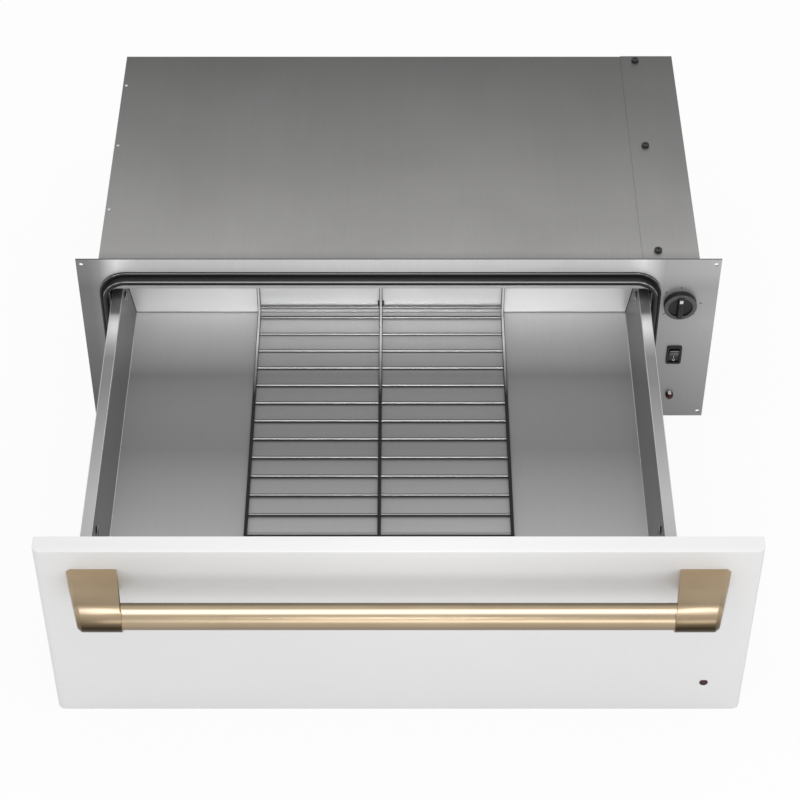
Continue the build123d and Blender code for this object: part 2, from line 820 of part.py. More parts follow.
def terminal_wells():
    return [control_x + step * terminal_pitch for step in (-1, 0, 1)]


def terminal_block():
    y = about(terminal_y, terminal_depth / 2)
    base = block(about(control_x, terminal_width / 2), y, (case_floor_z, terminal_top_z))
    for x in terminal_wells():
        base -= rod_z(x, terminal_y, terminal_well_diameter,
                      terminal_top_z - terminal_well_depth, terminal_top_z + 1)
    for x in terminal_wells()[:-1]:
        base += block(about(x + terminal_pitch / 2, terminal_rib_width / 2), y,
                      (terminal_top_z, terminal_top_z + terminal_rib_height))
    return base


def terminal_screws():
    seat = terminal_top_z - terminal_well_depth
    top = seat + terminal_screw_height
    screws = []
    for x in terminal_wells():
        head = rod_z(x, terminal_y, terminal_screw_diameter, seat, top)
        slot = block(about(x, terminal_screw_diameter), about(terminal_y, terminal_slot_width / 2),
                     (top - terminal_slot_depth, top + 1))
        screws.append(head - slot)
    return group(screws)


def internal_wires():
    """Five leads in the control bay, each from one terminal to the next."""
    seat = terminal_top_z - terminal_well_depth + terminal_screw_height
    over = seat + wire_rise
    left, middle, right = terminal_wells()
    pin_x = element_tail_x + terminal_pin_length
    blade_end = thermostat_depth + blade_length
    rocker_end = rocker_body_depth + blade_length
    lamp_end = lamp_body_depth + blade_length
    low_z, high_z = rocker_blades()
    near_x, far_x = about(control_x, thermostat_blade_spacing / 2)
    blade_z = knob_z - thermostat_blade_spacing / 2
    lamp_x = control_x - lamp_blade_spacing / 2
    live = [(left, terminal_y, seat), (left, terminal_y, over), (left, rocker_end + 40, over),
            (control_x, rocker_end + 24, low_z), (control_x, rocker_end, low_z)]
    switched = [(control_x, rocker_end, high_z), (control_x, rocker_end + 22, high_z),
                (near_x, rocker_end + 22, high_z + 10), (near_x, blade_end + 12, blade_z),
                (near_x, blade_end, blade_z)]
    to_element = [(far_x, blade_end, blade_z), (far_x, element_inner_back_y, blade_z),
                  (far_x, element_inner_back_y, element_z), (pin_x, element_inner_back_y, element_z)]
    neutral = [(pin_x, element_back_y, element_z), (right, element_back_y, element_z),
               (right, terminal_y, seat)]
    to_lamp = [(middle, terminal_y, seat), (middle, terminal_y, over), (middle, lamp_end + 40, over),
               (lamp_x, lamp_end + 20, lamp_z), (lamp_x, lamp_end, lamp_z)]
    routes = (live, switched, to_element, neutral, to_lamp)
    return group([bar_along(points, wire_bend, wire_diameter) for points in routes])


# ---- drawer pan and its rails ----------------------------------------------------------
def trough(top_half, floor_half, z_floor, z_top, y_front, y_back):
    """A trough with leaning sides, centred on the drawer."""
    corners = [(-floor_half, z_floor), (floor_half, z_floor), (top_half, z_top), (-top_half, z_top)]
    return facing(Pos(drawer_centre_x, 0) * Polygon(*corners, align=None), y_front, y_back)


def drawer_pan():
    y = (pan_front_y, pan_back_y + pan_sheet)
    outer_floor = pan_floor_half + pan_sheet - pan_slope * pan_sheet
    pan = trough(pan_mouth_half + pan_sheet, outer_floor, pan_floor_z - pan_sheet, pan_top_z, *y)
    strip = block(on_drawer(pan_mouth_half, pan_half_width), y, (pan_top_z - pan_sheet, pan_top_z))
    strip += block(on_drawer(pan_half_width - pan_sheet, pan_half_width), y, (pan_lip_z, pan_top_z))
    pan += strip
    pan += mirrored(strip)
    pan -= trough(pan_mouth_half + pan_slope, pan_floor_half, pan_floor_z, pan_top_z + 1,
                  pan_front_y + pan_sheet, pan_back_y)
    oval = RectangleRounded(pan_hole_width, pan_hole_height, pan_hole_width / 2 - 0.01)
    holes = ((panel_back_y + pan_front_hole_gap, pan_front_hole_drop),
             (pan_back_y - pan_back_hole_gap, pan_back_hole_drop))
    for hole_y, drop in holes:
        wall = on_drawer(pan_floor_half, pan_half_width - 2 * pan_sheet)
        cut = sideways(Pos(hole_y, pan_top_z - drop) * oval, *wall)
        pan -= cut
        pan -= mirrored(cut)
    for x, z in panel_screw_places():
        pan -= rod_y(x, z, panel_screw_diameter, pan_front_y - 1, pan_front_y + pan_sheet + 1)
    return pan


def drawer_rail():
    """Angle at the right of the pan: its foot is under the pan's floor, and the slide hangs on its web."""
    y = (pan_front_y, pan_back_y - rail_back_gap)
    web = block(on_drawer(rail_inner, rail_outer), y, (rail_bottom_z, rail_top_z))
    foot_z = (rail_bottom_z, rail_bottom_z + rail_sheet)
    foot = block(on_drawer(rail_outer - rail_foot, rail_inner), y, foot_z)
    return web + foot


# ---- slides, drawn for the right side --------------------------------------------------
def channel(web, tip, half, y_front):
    """One sheet member: a web at one side, and a lip above and below that reaches to the tip."""
    y = (y_front, y_front + slide_length)
    low, high = min(web, tip), max(web + slide_sheet, tip)
    member = block(on_drawer(web, web + slide_sheet), y, about(slide_z, half))
    for side in (-1, 1):
        lip_z = (slide_z + side * half, slide_z + side * (half - slide_sheet))
        member += block(on_drawer(low, high), y, lip_z)
    return member


def slide_inner():
    return channel(inner_web, inner_tip, slide_inner_half, slide_front_y - travel)


def slide_middle():
    return channel(middle_web, middle_tip, middle_half, slide_front_y - travel / 2)


def slide_outer():
    return channel(outer_web, outer_tip, outer_half, slide_front_y)


def ball_cage(member_half, share):
    """Balls above and below one member, in two perforated strips; the cage moves a share of the travel."""
    y_front = cage_closed_y - share * travel
    x = drawer_centre_x + ball_offset
    pieces = []
    for side in (-1, 1):
        z = slide_z + side * (member_half + ball_space / 2)
        strip = block(about(x, cage_width / 2), (y_front, y_front + cage_length), about(z, cage_sheet / 2))
        for i in range(cage_balls):
            y = y_front + cage_end + i * cage_pitch
            strip -= rod_z(x, y, slide_ball + 2 * cage_fit, z - cage_sheet, z + cage_sheet)
            pieces.append(Pos(x, y, z) * Sphere(slide_ball / 2))
        pieces.append(strip)
    return group(pieces)


def inner_ball_cage():
    return ball_cage(slide_inner_half, 0.75)


def outer_ball_cage():
    return ball_cage(middle_half, 0.25)


def slide_spacers():
    """Pads between each slide's outer member and the cavity's wall."""
    right = [block(on_drawer(slide_back, cavity_half_width), about(y, spacer_length / 2),
                   about(slide_z, spacer_height / 2)) for y in spacer_positions]
    return group(right + [mirrored(pad) for pad in right])


# ---- front panel -----------------------------------------------------------------------
def panel_blank(inset, y_back):
    """The panel's block with round front corners, drawn in by an inset."""
    blank = block(about(0, panel_width / 2 - inset), (panel_front_y + inset, y_back),
                  (panel_bottom_z + inset, panel_top_z - inset))
    corners = blank.edges().filter_by(Axis.Z).group_by(Axis.Y)[0]
    return fillet(corners, panel_edge_radius - inset)


def panel_skin():
    skin = panel_blank(0, panel_back_y) - panel_blank(panel_skin_sheet, panel_back_y + 5)
    through = (panel_front_y - 1, panel_front_y + panel_skin_sheet + 1)
    skin -= rod_y(control_x, lamp_z, window_diameter, *through)
    for x in handle_screw_places():
        skin -= rod_y(x, handle_axis_z, handle_screw_diameter, *through)
    return skin


def panel_inner():
    """The sheet that closes the panel's back."""
    y_front = panel_back_y - panel_inner_sheet
    plate = block(about(0, panel_width / 2 - panel_skin_sheet), (y_front, panel_back_y),
                  (panel_bottom_z + panel_skin_sheet, panel_top_z - panel_skin_sheet))
    plate -= rod_y(control_x, lamp_z, window_diameter, y_front - 1, panel_back_y + 1)
    for x, z in panel_screw_places():
        plate -= rod_y(x, z, panel_screw_diameter, y_front - 1, panel_back_y + 1)
    return plate


def panel_insulation():
    y = (panel_front_y + panel_skin_sheet, panel_back_y - panel_inner_sheet)
    pad = block(about(0, panel_width / 2 - panel_edge_radius), y,
                (panel_bottom_z + panel_skin_sheet, panel_top_z - panel_skin_sheet))
    pad -= rod_y(control_x, lamp_z, window_diameter, *y)
    for x, z in panel_screw_places():
        pad -= rod_y(x, z, panel_screw_diameter, panel_back_y - panel_screw_reach, panel_back_y)
    for x in handle_screw_places():
        pad -= rod_y(x, handle_axis_z, handle_screw_head_diameter, y[0], y[0] + handle_screw_head_height)
    return pad


def panel_window():
    """Red rod through the panel, in line with the frame's lamp, so that the lamp shows when it is shut."""
    diameter = window_diameter - 2 * window_clearance
    rod = rod_y(control_x, lamp_z, diameter, panel_front_y - window_proud, panel_back_y)
    return fillet(front_edges(rod), 0.5)


def panel_screw_places():
    half = panel_screw_spacing / 2
    heights = (pan_floor_z + panel_screw_margin, pan_top_z - panel_screw_margin)
    return [(drawer_centre_x + side * half, z) for side in (-1, 1) for z in heights]


def panel_screws():
    seat = pan_front_y + pan_sheet
    screws = []
    for x, z in panel_screw_places():
        head = rod_y(x, z, panel_screw_head_diameter, seat, seat + panel_screw_head_height)
        head = fillet(head.faces().sort_by(Axis.Y)[-1].edges(), 0.8)
        shank = rod_y(x, z, panel_screw_diameter, panel_back_y - panel_screw_reach, seat)
        screws.append(head + shank - cross_slot(x, z, seat, panel_screw_head_height, 2.2))
    return group(screws)


# ---- handle ----------------------------------------------------------------------------
def handle_screw_places():
    middle = handle_outer_x - handle_bracket_width / 2
    return [side * (middle + step * handle_screw_spacing / 2) for side in (-1, 1) for step in (-1, 1)]


def handle_bracket_right():
    """A block whose nose goes round the tube; it is narrower there than at the panel."""
    height = 2 * handle_nose_radius
    side_view = Pos((panel_front_y + handle_axis_y) / 2, handle_axis_z) * Rectangle(handle_standoff, height)
    side_view += Pos(handle_axis_y, handle_axis_z) * Circle(handle_nose_radius)
    bracket = sideways(side_view, handle_inner_x - handle_inner_lean, handle_outer_x)
    nose_y = handle_axis_y - handle_nose_radius
    plan = Polygon(
        (handle_inner_x, panel_front_y), (handle_inner_x - handle_inner_lean, nose_y),
        (handle_outer_x - handle_outer_lean, nose_y), (handle_outer_x, panel_front_y), align=None,
    )
    bracket &= extrude(Pos(0, 0, handle_axis_z - height) * plan, amount=2 * height, dir=(0, 0, 1))
    outer_face = bracket.faces().sort_by(Axis.X)[-1]
    rim = [edge for edge in outer_face.edges() if edge.center().Y < panel_front_y - 0.5]
    bracket = chamfer(rim, handle_chamfer)
    bracket -= rod_x(handle_axis_y, handle_axis_z, handle_tube_diameter + 2 * handle_fit,
                     handle_inner_x - handle_socket_depth, handle_tube_half)
    for x in handle_screw_places():
        bracket -= rod_y(x, handle_axis_z, handle_screw_diameter, panel_front_y - handle_screw_depth - 1,
                         panel_front_y + 1)
    return bracket


def handle_bracket_left():
    return mirror(handle_bracket_right(), about=Plane.YZ)


def handle_tube():
    bore = handle_tube_diameter - 2 * handle_tube_wall
    tube = rod_x(handle_axis_y, handle_axis_z, handle_tube_diameter, -handle_tube_half, handle_tube_half)
    return tube - rod_x(handle_axis_y, handle_axis_z, bore, -handle_tube_half - 1, handle_tube_half + 1)


def handle_screws():
    seat = panel_front_y + panel_skin_sheet
    screws = []
    for x in handle_screw_places():
        head = rod_y(x, handle_axis_z, handle_screw_head_diameter, seat, seat + handle_screw_head_height)
        shank = rod_y(x, handle_axis_z, handle_screw_diameter, panel_front_y - handle_screw_depth, seat)
        screws.append(head + shank - cross_slot(x, handle_axis_z, seat, handle_screw_head_height, 2.6))
    return group(screws)


# ---- rack ------------------------------------------------------------------------------
def rack_long_wires():
    """Three wires along the floor, each turned up against the pan's back wall."""
    wires = []
    for step in (-1, 0, 1):
        x = drawer_centre_x + step * rack_pitch
        points = [(x, rack_end_y, rack_long_z), (x, rack_wall_y, rack_long_z),
                  (x, rack_wall_y, rack_long_z + rack_rise)]
        wires.append(bar_along(points, rack_bend, rack_long_diameter))
    return group(wires)


def rack_cross_wires():
    """Wires under the long ones: a row on the floor, and one behind them where the rack climbs the wall."""
    reach = rack_pitch + rack_long_diameter / 2
    last_y = pan_back_y - rack_last_cross_gap
    places = [(last_y - i * rack_cross_pitch, rack_cross_z) for i in range(rack_cross_count)]
    places.append((rack_wall_cross_y, rack_long_z + rack_wall_cross_rise))
    return group([rod_x(y, z, rack_cross_diameter, *on_drawer(-reach, reach)) for y, z in places])


def rack_retainer():
    """Rubber stop on the pan's back wall, behind the rack's middle wire."""
    z = pan_floor_z + retainer_rise
    y_front = rack_wall_y + rack_long_diameter / 2 + rack_touch
    disc = rod_y(drawer_centre_x, z, retainer_diameter, y_front, pan_back_y)
    return fillet(front_edges(disc), 0.4)


# ---- all sub-parts ---------------------------------------------------------------------
single = (
    face_frame, door_gasket, case_left_side, case_right_side, case_base, case_top, control_bay_cover,
    case_back, bay_divider, cover_screws, case_rivets, cavity_liner, cavity_back, insulation_left,
    insulation_right, insulation_roof, insulation_floor, insulation_back, heating_element, element_posts,
    sensing_bulb, capillary, bulb_clips, control_knob, knob_shaft, thermostat_body, rocker_housing,
    rocker_paddle, lamp_body, lamp_lens, supply_bushing, terminal_block, terminal_screws, internal_wires,
    drawer_pan, slide_spacers, panel_skin, panel_inner, panel_insulation, panel_window, panel_screws,
    handle_bracket_right, handle_bracket_left, handle_tube, handle_screws, rack_long_wires,
    rack_cross_wires, rack_retainer,
)
both_sides = (drawer_rail, slide_inner, slide_middle, slide_outer, inner_ball_cage, outer_ball_cage)

nodes = {make.__name__: make() for make in single}
for make in both_sides:
    right = make()
    nodes[make.__name__ + "_right"] = right
    nodes[make.__name__ + "_left"] = mirrored(right)

for name, piece in nodes.items():
    export_step(piece, f"parts/{name}.step")

print(f"{len(nodes)} sub-parts; travel {travel:.1f} mm; case {case_bottom_z:.1f} to {case_top_z:.1f}, "
      f"depth {case_depth:.1f}; pan half width {pan_half_width:.1f}; handle axis z {handle_axis_z:.2f}")
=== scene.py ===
# %% [markdown]
# # A built-in warming drawer, pulled open
#
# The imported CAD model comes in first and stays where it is. This notebook then gives each piece
# its finish, remodels the pieces whose soft edges the eye looks for, and sets up the studio.
# Every length below is in metres unless a name says mm, in the CAD model's own frame:
# +X to the right, +Y into the cabinet, +Z up.

# %% Load the frame
import json
import math

import bmesh
import bpy
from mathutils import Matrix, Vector


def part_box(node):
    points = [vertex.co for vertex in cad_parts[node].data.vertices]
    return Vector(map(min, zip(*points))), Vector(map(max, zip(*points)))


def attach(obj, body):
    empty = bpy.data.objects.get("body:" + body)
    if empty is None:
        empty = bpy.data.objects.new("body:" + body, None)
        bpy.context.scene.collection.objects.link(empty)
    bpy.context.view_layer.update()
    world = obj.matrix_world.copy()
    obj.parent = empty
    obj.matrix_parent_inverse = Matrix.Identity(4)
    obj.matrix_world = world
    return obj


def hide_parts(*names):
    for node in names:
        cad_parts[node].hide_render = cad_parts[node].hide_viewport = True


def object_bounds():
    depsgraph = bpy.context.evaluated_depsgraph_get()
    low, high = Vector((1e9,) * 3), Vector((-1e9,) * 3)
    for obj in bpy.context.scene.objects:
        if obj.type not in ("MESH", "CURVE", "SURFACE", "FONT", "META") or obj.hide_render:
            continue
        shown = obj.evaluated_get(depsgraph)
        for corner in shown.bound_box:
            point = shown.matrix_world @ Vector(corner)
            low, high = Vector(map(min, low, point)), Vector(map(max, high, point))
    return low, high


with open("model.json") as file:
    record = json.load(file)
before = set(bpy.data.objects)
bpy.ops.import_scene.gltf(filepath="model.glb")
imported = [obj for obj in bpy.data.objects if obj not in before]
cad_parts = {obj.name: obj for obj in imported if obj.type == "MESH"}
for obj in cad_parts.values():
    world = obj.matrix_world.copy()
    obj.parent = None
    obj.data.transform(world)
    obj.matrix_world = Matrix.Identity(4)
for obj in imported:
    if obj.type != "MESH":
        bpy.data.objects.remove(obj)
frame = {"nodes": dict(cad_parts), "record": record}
nodes = frame["nodes"]
cad_low, cad_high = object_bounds()
MM = 0.001
print("CAD nodes:", len(nodes), "box:", [round(v, 4) for v in cad_high - cad_low])

# %% [markdown]
# ## The camera
#
# The photograph looks down at 45 degrees through a long lens, so the sides lean in only a little.
# A long lens far away gives that; a short one close by would make the front panel loom. The place
# and the lens come from fitting the model's corners to the photograph's corners.

# %% Camera
CAMERA_PLACE = (0.00146, -1.97172, 1.87543)
CAMERA_TILT = math.radians(44.89)
CAMERA_LENS_MM = 101.495
SENSOR_MM = 36.0

camera_data = bpy.data.cameras.new("studio_camera")
camera_data.lens = CAMERA_LENS_MM
camera_data.sensor_width = SENSOR_MM
camera = bpy.data.objects.new("studio_camera", camera_data)
camera.location = CAMERA_PLACE
camera.rotation_euler = (CAMERA_TILT, 0, 0)
bpy.context.scene.collection.objects.link(camera)
bpy.context.scene.camera = camera
print("camera lens:", camera_data.lens)

# %% [markdown]
# ## Light, background and floor
#
# White enamel and polished wire both need large, soft lamps: a small lamp would leave hard dots on
# the wire and hard shadows on the enamel. One broad lamp hangs above, a weaker one stands in front,
# and a soft spot lifts the back of the drawer and the top of the frame, as in the photograph.
# The world fills the rest at a plain level. The background is white only for what the camera and
# the reflections see, so it adds no light of its own.

# %% World
FILL_LEVEL = 0.72

bpy.context.scene.view_settings.view_transform = "Standard"
world = bpy.data.worlds.new("studio")
bpy.context.scene.world = world
world.use_nodes = True
tree = world.node_tree
tree.nodes.clear()


def seen_mask(node_tree):
    """1 where a ray comes straight from the camera, or by a reflection or through glass."""
    path = node_tree.nodes.new("ShaderNodeLightPath")
    total = path.outputs["Is Camera Ray"]
    for name in ("Is Glossy Ray", "Is Transmission Ray"):
        add = node_tree.nodes.new("ShaderNodeMath")
        add.operation = "MAXIMUM"
        node_tree.links.new(total, add.inputs[0])
        node_tree.links.new(path.outputs[name], add.inputs[1])
        total = add.outputs[0]
    return total


fill = tree.nodes.new("ShaderNodeBackground")
fill.inputs["Strength"].default_value = FILL_LEVEL
white = tree.nodes.new("ShaderNodeBackground")
for background in (fill, white):
    background.inputs["Color"].default_value = (1, 1, 1, 1)
mix = tree.nodes.new("ShaderNodeMixShader")
out = tree.nodes.new("ShaderNodeOutputWorld")
tree.links.new(seen_mask(tree), mix.inputs[0])
tree.links.new(fill.outputs[0], mix.inputs[1])
tree.links.new(white.outputs[0], mix.inputs[2])
tree.links.new(mix.outputs[0], out.inputs[0])
print("world fill:", FILL_LEVEL)

# %% Lamps
AREA_LAMPS = (
    # name, place, aimed at, width, depth, watts
    ("overhead", (0.1, -0.35, 2.1), (0.0, -0.1, 0.0), 2.2, 1.3, 14.5),
    ("front", (0.4, -2.6, 0.45), (0.0, -0.45, 0.0), 1.6, 0.7, 9.0),
)
ACCENT_PLACE, ACCENT_TARGET = (0, -1.9, 1.3), (0, 0.06, 0.10)
ACCENT_WATTS = 60.0
ACCENT_CONE_DEGREES = 18
ACCENT_RADIUS = 0.2


def hang_lamp(data, place, target):
    """Puts a lamp in its place and turns it to a point."""
    lamp = bpy.data.objects.new(data.name, data)
    lamp.location = place
    lamp.rotation_euler = (Vector(target) - Vector(place)).to_track_quat("-Z", "Y").to_euler()
    bpy.context.scene.collection.objects.link(lamp)


for name, place, target, width, depth, watts in AREA_LAMPS:
    area = bpy.data.lights.new(name, "AREA")
    area.shape = "RECTANGLE"
    area.size, area.size_y, area.energy = width, depth, watts
    hang_lamp(area, place, target)

accent = bpy.data.lights.new("accent", "SPOT")
accent.energy = ACCENT_WATTS
accent.spot_size = math.radians(ACCENT_CONE_DEGREES)
accent.spot_blend = 1.0
accent.shadow_soft_size = ACCENT_RADIUS
hang_lamp(accent, ACCENT_PLACE, ACCENT_TARGET)
print("area lamps:", len(AREA_LAMPS), "and one spot")

# %% [markdown]
# ## Helpers for modelling
#
# An operator works on whatever is selected, so each piece starts from an empty selection, and its
# faces or edges are picked by where they are or which way they face.

# %% Helpers for objects
FACING = 0.9  # a face whose normal has this much along an axis looks that way
LYING_ALONG_X, LYING_ALONG_Y = (0, math.pi / 2, 0), (math.pi / 2, 0, 0)


def edit():
    bpy.ops.object.mode_set(mode="EDIT")


def leave_edit():
    bpy.ops.object.mode_set(mode="OBJECT")


def deselect():
    """Leaves edit mode and lets go of every object."""
    if bpy.context.object and bpy.context.object.mode != "OBJECT":
        leave_edit()
    bpy.ops.object.select_all(action="DESELECT")


def choose(piece):
    """Makes a piece the active one, and the only one selected."""
    deselect()
    piece.select_set(True)
    bpy.context.view_layer.objects.active = piece


def fix_place():
    """Moves the place, turn and size of what is selected into its mesh."""
    bpy.ops.object.transform_apply(location=True, rotation=True, scale=True)


def start_block(name, low, high):
    """A block between two corners, ready to be shaped in edit mode."""
    deselect()
    centre = [(a + b) / 2 for a, b in zip(low, high)]
    bpy.ops.mesh.primitive_cube_add(size=1, location=centre)
    piece = bpy.context.object
    piece.name = name
    piece.scale = [b - a for a, b in zip(low, high)]
    fix_place()
    return piece


def start_disc(name, centre, radius, depth, corners, turn):
    """A cylinder with its place and turn already in its mesh."""
    deselect()
    bpy.ops.mesh.primitive_cylinder_add(
        vertices=corners, radius=radius, depth=depth, location=centre, rotation=turn)
    piece = bpy.context.object
    piece.name = name
    fix_place()
    return piece


def start_ring(centre, radius, wire_radius, corners, turn):
    """A ring of round wire with its place and turn already in its mesh."""
    deselect()
    bpy.ops.mesh.primitive_torus_add(
        major_radius=radius, minor_radius=wire_radius, major_segments=corners, minor_segments=8,
        location=centre, rotation=turn)
    fix_place()
    return bpy.context.object


def join(name, *parts):
    """Several meshes made one piece."""
    deselect()
    for part in parts:
        part.select_set(True)
    bpy.context.view_layer.objects.active = parts[0]
    bpy.ops.object.join()
    parts[0].name = name
    return parts[0]


def settle(piece, body, slot, *stands_for):
    """Says what a finished piece rides on and which nodes it replaces; the slot argument is not
    used.
    """
    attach(piece, body)
    if stands_for:
        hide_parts(*stands_for)
    print(piece.name, "faces:", len(piece.data.polygons))


# %% Helpers for shapes
def pick(kind, test):
    """In edit mode, selects the faces, edges or verts that pass a test, and nothing else."""
    bpy.ops.mesh.select_mode(type={"faces": "FACE", "edges": "EDGE", "verts": "VERT"}[kind])
    bpy.ops.mesh.select_all(action="DESELECT")
    shape = bmesh.from_edit_mesh(bpy.context.object.data)
    for item in getattr(shape, kind):
        if test(item):
            item.select_set(True)
    shape.select_flush_mode()
    bmesh.update_edit_mesh(bpy.context.object.data)


def pick_all():
    bpy.ops.mesh.select_all(action="SELECT")


def cut_off(place, normal):
    """In edit mode, cuts by a plane, throws away the side it faces and closes the cut."""
    pick_all()
    bpy.ops.mesh.bisect(plane_co=place, plane_no=normal, clear_outer=True, use_fill=True)


def merge_doubles():
    pick_all()
    bpy.ops.mesh.remove_doubles(threshold=0.01 * MM)


def apply_modifier(piece, kind, **values):
    """Adds a modifier, sets it and applies it."""
    choose(piece)
    modifier = piece.modifiers.new(kind.lower(), kind)
    for key, value in values.items():
        setattr(modifier, key, value)
    bpy.ops.object.modifier_apply(modifier=modifier.name)


def soften(piece, width_mm, steps=3, angle=50):
    """Rounds every edge that is sharper than the angle."""
    apply_modifier(piece, "BEVEL", width=width_mm * MM, segments=steps, limit_method="ANGLE",
                   angle_limit=math.radians(angle), harden_normals=False)


def smooth(piece, angle=40):
    """Shades as round whatever bends less than the angle."""
    choose(piece)
    bpy.ops.object.shade_smooth_by_angle(angle=math.radians(angle))


def second_finish(piece, finish, test):
    """Gives the faces that pass a test a finish of their own."""
    piece.data.materials.append(finish)
    choose(piece)
    edit()
    pick("faces", test)
    piece.active_material_index = 1
    bpy.ops.object.material_slot_assign()
    leave_edit()


def mid_of(edge):
    return (edge.verts[0].co + edge.verts[1].co) / 2


def near(a, b, reach=0.05 * MM):
    return abs(a - b) < reach


# %% [markdown]
# ## The plain floor
#
# The floor is wide and pale, and it lies just under the front panel. A bare white plane would come
# out grey, and one that only glows would lose the shadow. So part of its colour is a glow that the
# camera sees, and the rest is paper that the object's shadow falls on.

# %% Floor
FLOOR_WIDTH = 14.0
FLOOR_GAP_MM = 0.4
FLOOR_GLOW = 0.93

floor_z = cad_low.z - FLOOR_GAP_MM * MM
deselect()
bpy.ops.mesh.primitive_plane_add(size=FLOOR_WIDTH, location=(0, 0, floor_z))
floor = bpy.context.object
floor.name = "studio_floor"
fix_place()
floor_paper = bpy.data.materials.new("floor_paper")
floor_paper.use_nodes = True
tree = floor_paper.node_tree
paper = tree.nodes["Principled BSDF"]
paper.inputs["Base Color"].default_value = (0.86, 0.86, 0.86, 1)
paper.inputs["Roughness"].default_value = 0.9
paper.inputs["Specular IOR Level"].default_value = 0.0
glow = tree.nodes.new("ShaderNodeEmission")
glow.inputs["Strength"].default_value = 1.0
share = tree.nodes.new("ShaderNodeMath")
share.operation = "MULTIPLY"
share.inputs[1].default_value = FLOOR_GLOW
blend = tree.nodes.new("ShaderNodeMixShader")
tree.links.new(seen_mask(tree), share.inputs[0])
tree.links.new(share.outputs[0], blend.inputs[0])
tree.links.new(paper.outputs[0], blend.inputs[1])
tree.links.new(glow.outputs[0], blend.inputs[2])
tree.links.new(blend.outputs[0], tree.nodes["Material Output"].inputs[0])
floor.data.materials.append(floor_paper)
print("floor at", round(floor_z, 4))

# %% [markdown]
# ## Shared effects for the finishes
#
# Three effects turn up in nearly every finish, so each is a node group that is built once. Brushing
# is a noise that has been stretched along the way the belt ran. Mottle is a broad, faint change of
# tone, from handling and rolling. Grain is a fine, even pebble, as on moulded plastic and enamel.
# Each group gives only a mask or a height; the shader stays in the material.


# %% Effect groups
def effect_group(name, inputs, outputs):
    """An empty group with a Vector and named numbers going in, and named numbers coming out."""
    group = bpy.data.node_groups.new(name, "ShaderNodeTree")
    group.interface.new_socket("Vector", in_out="INPUT", socket_type="NodeSocketVector")
    for label, value in inputs:
        socket = group.interface.new_socket(label, in_out="INPUT", socket_type="NodeSocketFloat")
        socket.default_value = value
    for label in outputs:
        group.interface.new_socket(label, in_out="OUTPUT", socket_type="NodeSocketFloat")
    return group, group.nodes.new("NodeGroupInput"), group.nodes.new("NodeGroupOutput")


def brushing():
    """Fine lines with some broader ones among them."""
    group, start, end = effect_group("brushing", [("Fineness", 900.0)], ["Mask", "Height"])
    fine = group.nodes.new("ShaderNodeTexNoise")
    coarse = group.nodes.new("ShaderNodeTexNoise")
    fine.inputs["Detail"].default_value = 4.0
    coarse.inputs["Detail"].default_value = 2.0
    coarser = group.nodes.new("ShaderNodeMath")
    coarser.operation = "MULTIPLY"
    coarser.inputs[1].default_value = 0.12
    both = group.nodes.new("ShaderNodeMix")
    both.inputs["Factor"].default_value = 0.35
    link = group.links.new
    link(start.outputs["Vector"], fine.inputs["Vector"])
    link(start.outputs["Vector"], coarse.inputs["Vector"])
    link(start.outputs["Fineness"], fine.inputs["Scale"])
    link(start.outputs["Fineness"], coarser.inputs[0])
    link(coarser.outputs[0], coarse.inputs["Scale"])
    link(fine.outputs[0], both.inputs[2])
    link(coarse.outputs[0], both.inputs[3])
    link(both.outputs[0], end.inputs["Mask"])
    link(fine.outputs[0], end.inputs["Height"])
    return group


def mottle():
    """Broad soft clouds."""
    group, start, end = effect_group("mottle", [("Size", 6.0)], ["Mask"])
    cloud = group.nodes.new("ShaderNodeTexNoise")
    cloud.inputs["Detail"].default_value = 3.0
    cloud.inputs["Distortion"].default_value = 0.4
    spread = group.nodes.new("ShaderNodeMapRange")
    spread.inputs["From Min"].default_value = 0.3
    spread.inputs["From Max"].default_value = 0.7
    link = group.links.new
    link(start.outputs["Vector"], cloud.inputs["Vector"])
    link(start.outputs["Size"], cloud.inputs["Scale"])
    link(cloud.outputs[0], spread.inputs["Value"])
    link(spread.outputs["Result"], end.inputs["Mask"])
    return group


def grain():
    """Fine pebbles, with dust for the tone."""
    group, start, end = effect_group("grain", [("Fineness", 1800.0)], ["Mask", "Height"])
    pebble = group.nodes.new("ShaderNodeTexVoronoi")
    dust = group.nodes.new("ShaderNodeTexNoise")
    dust.inputs["Detail"].default_value = 2.0
    link = group.links.new
    for texture in (pebble, dust):
        link(start.outputs["Vector"], texture.inputs["Vector"])
        link(start.outputs["Fineness"], texture.inputs["Scale"])
    link(dust.outputs[0], end.inputs["Mask"])
    link(pebble.outputs["Distance"], end.inputs["Height"])
    return group


EFFECTS = {"brushing": brushing(), "grain": grain(), "mottle": mottle()}
print("effect groups:", sorted(EFFECTS))
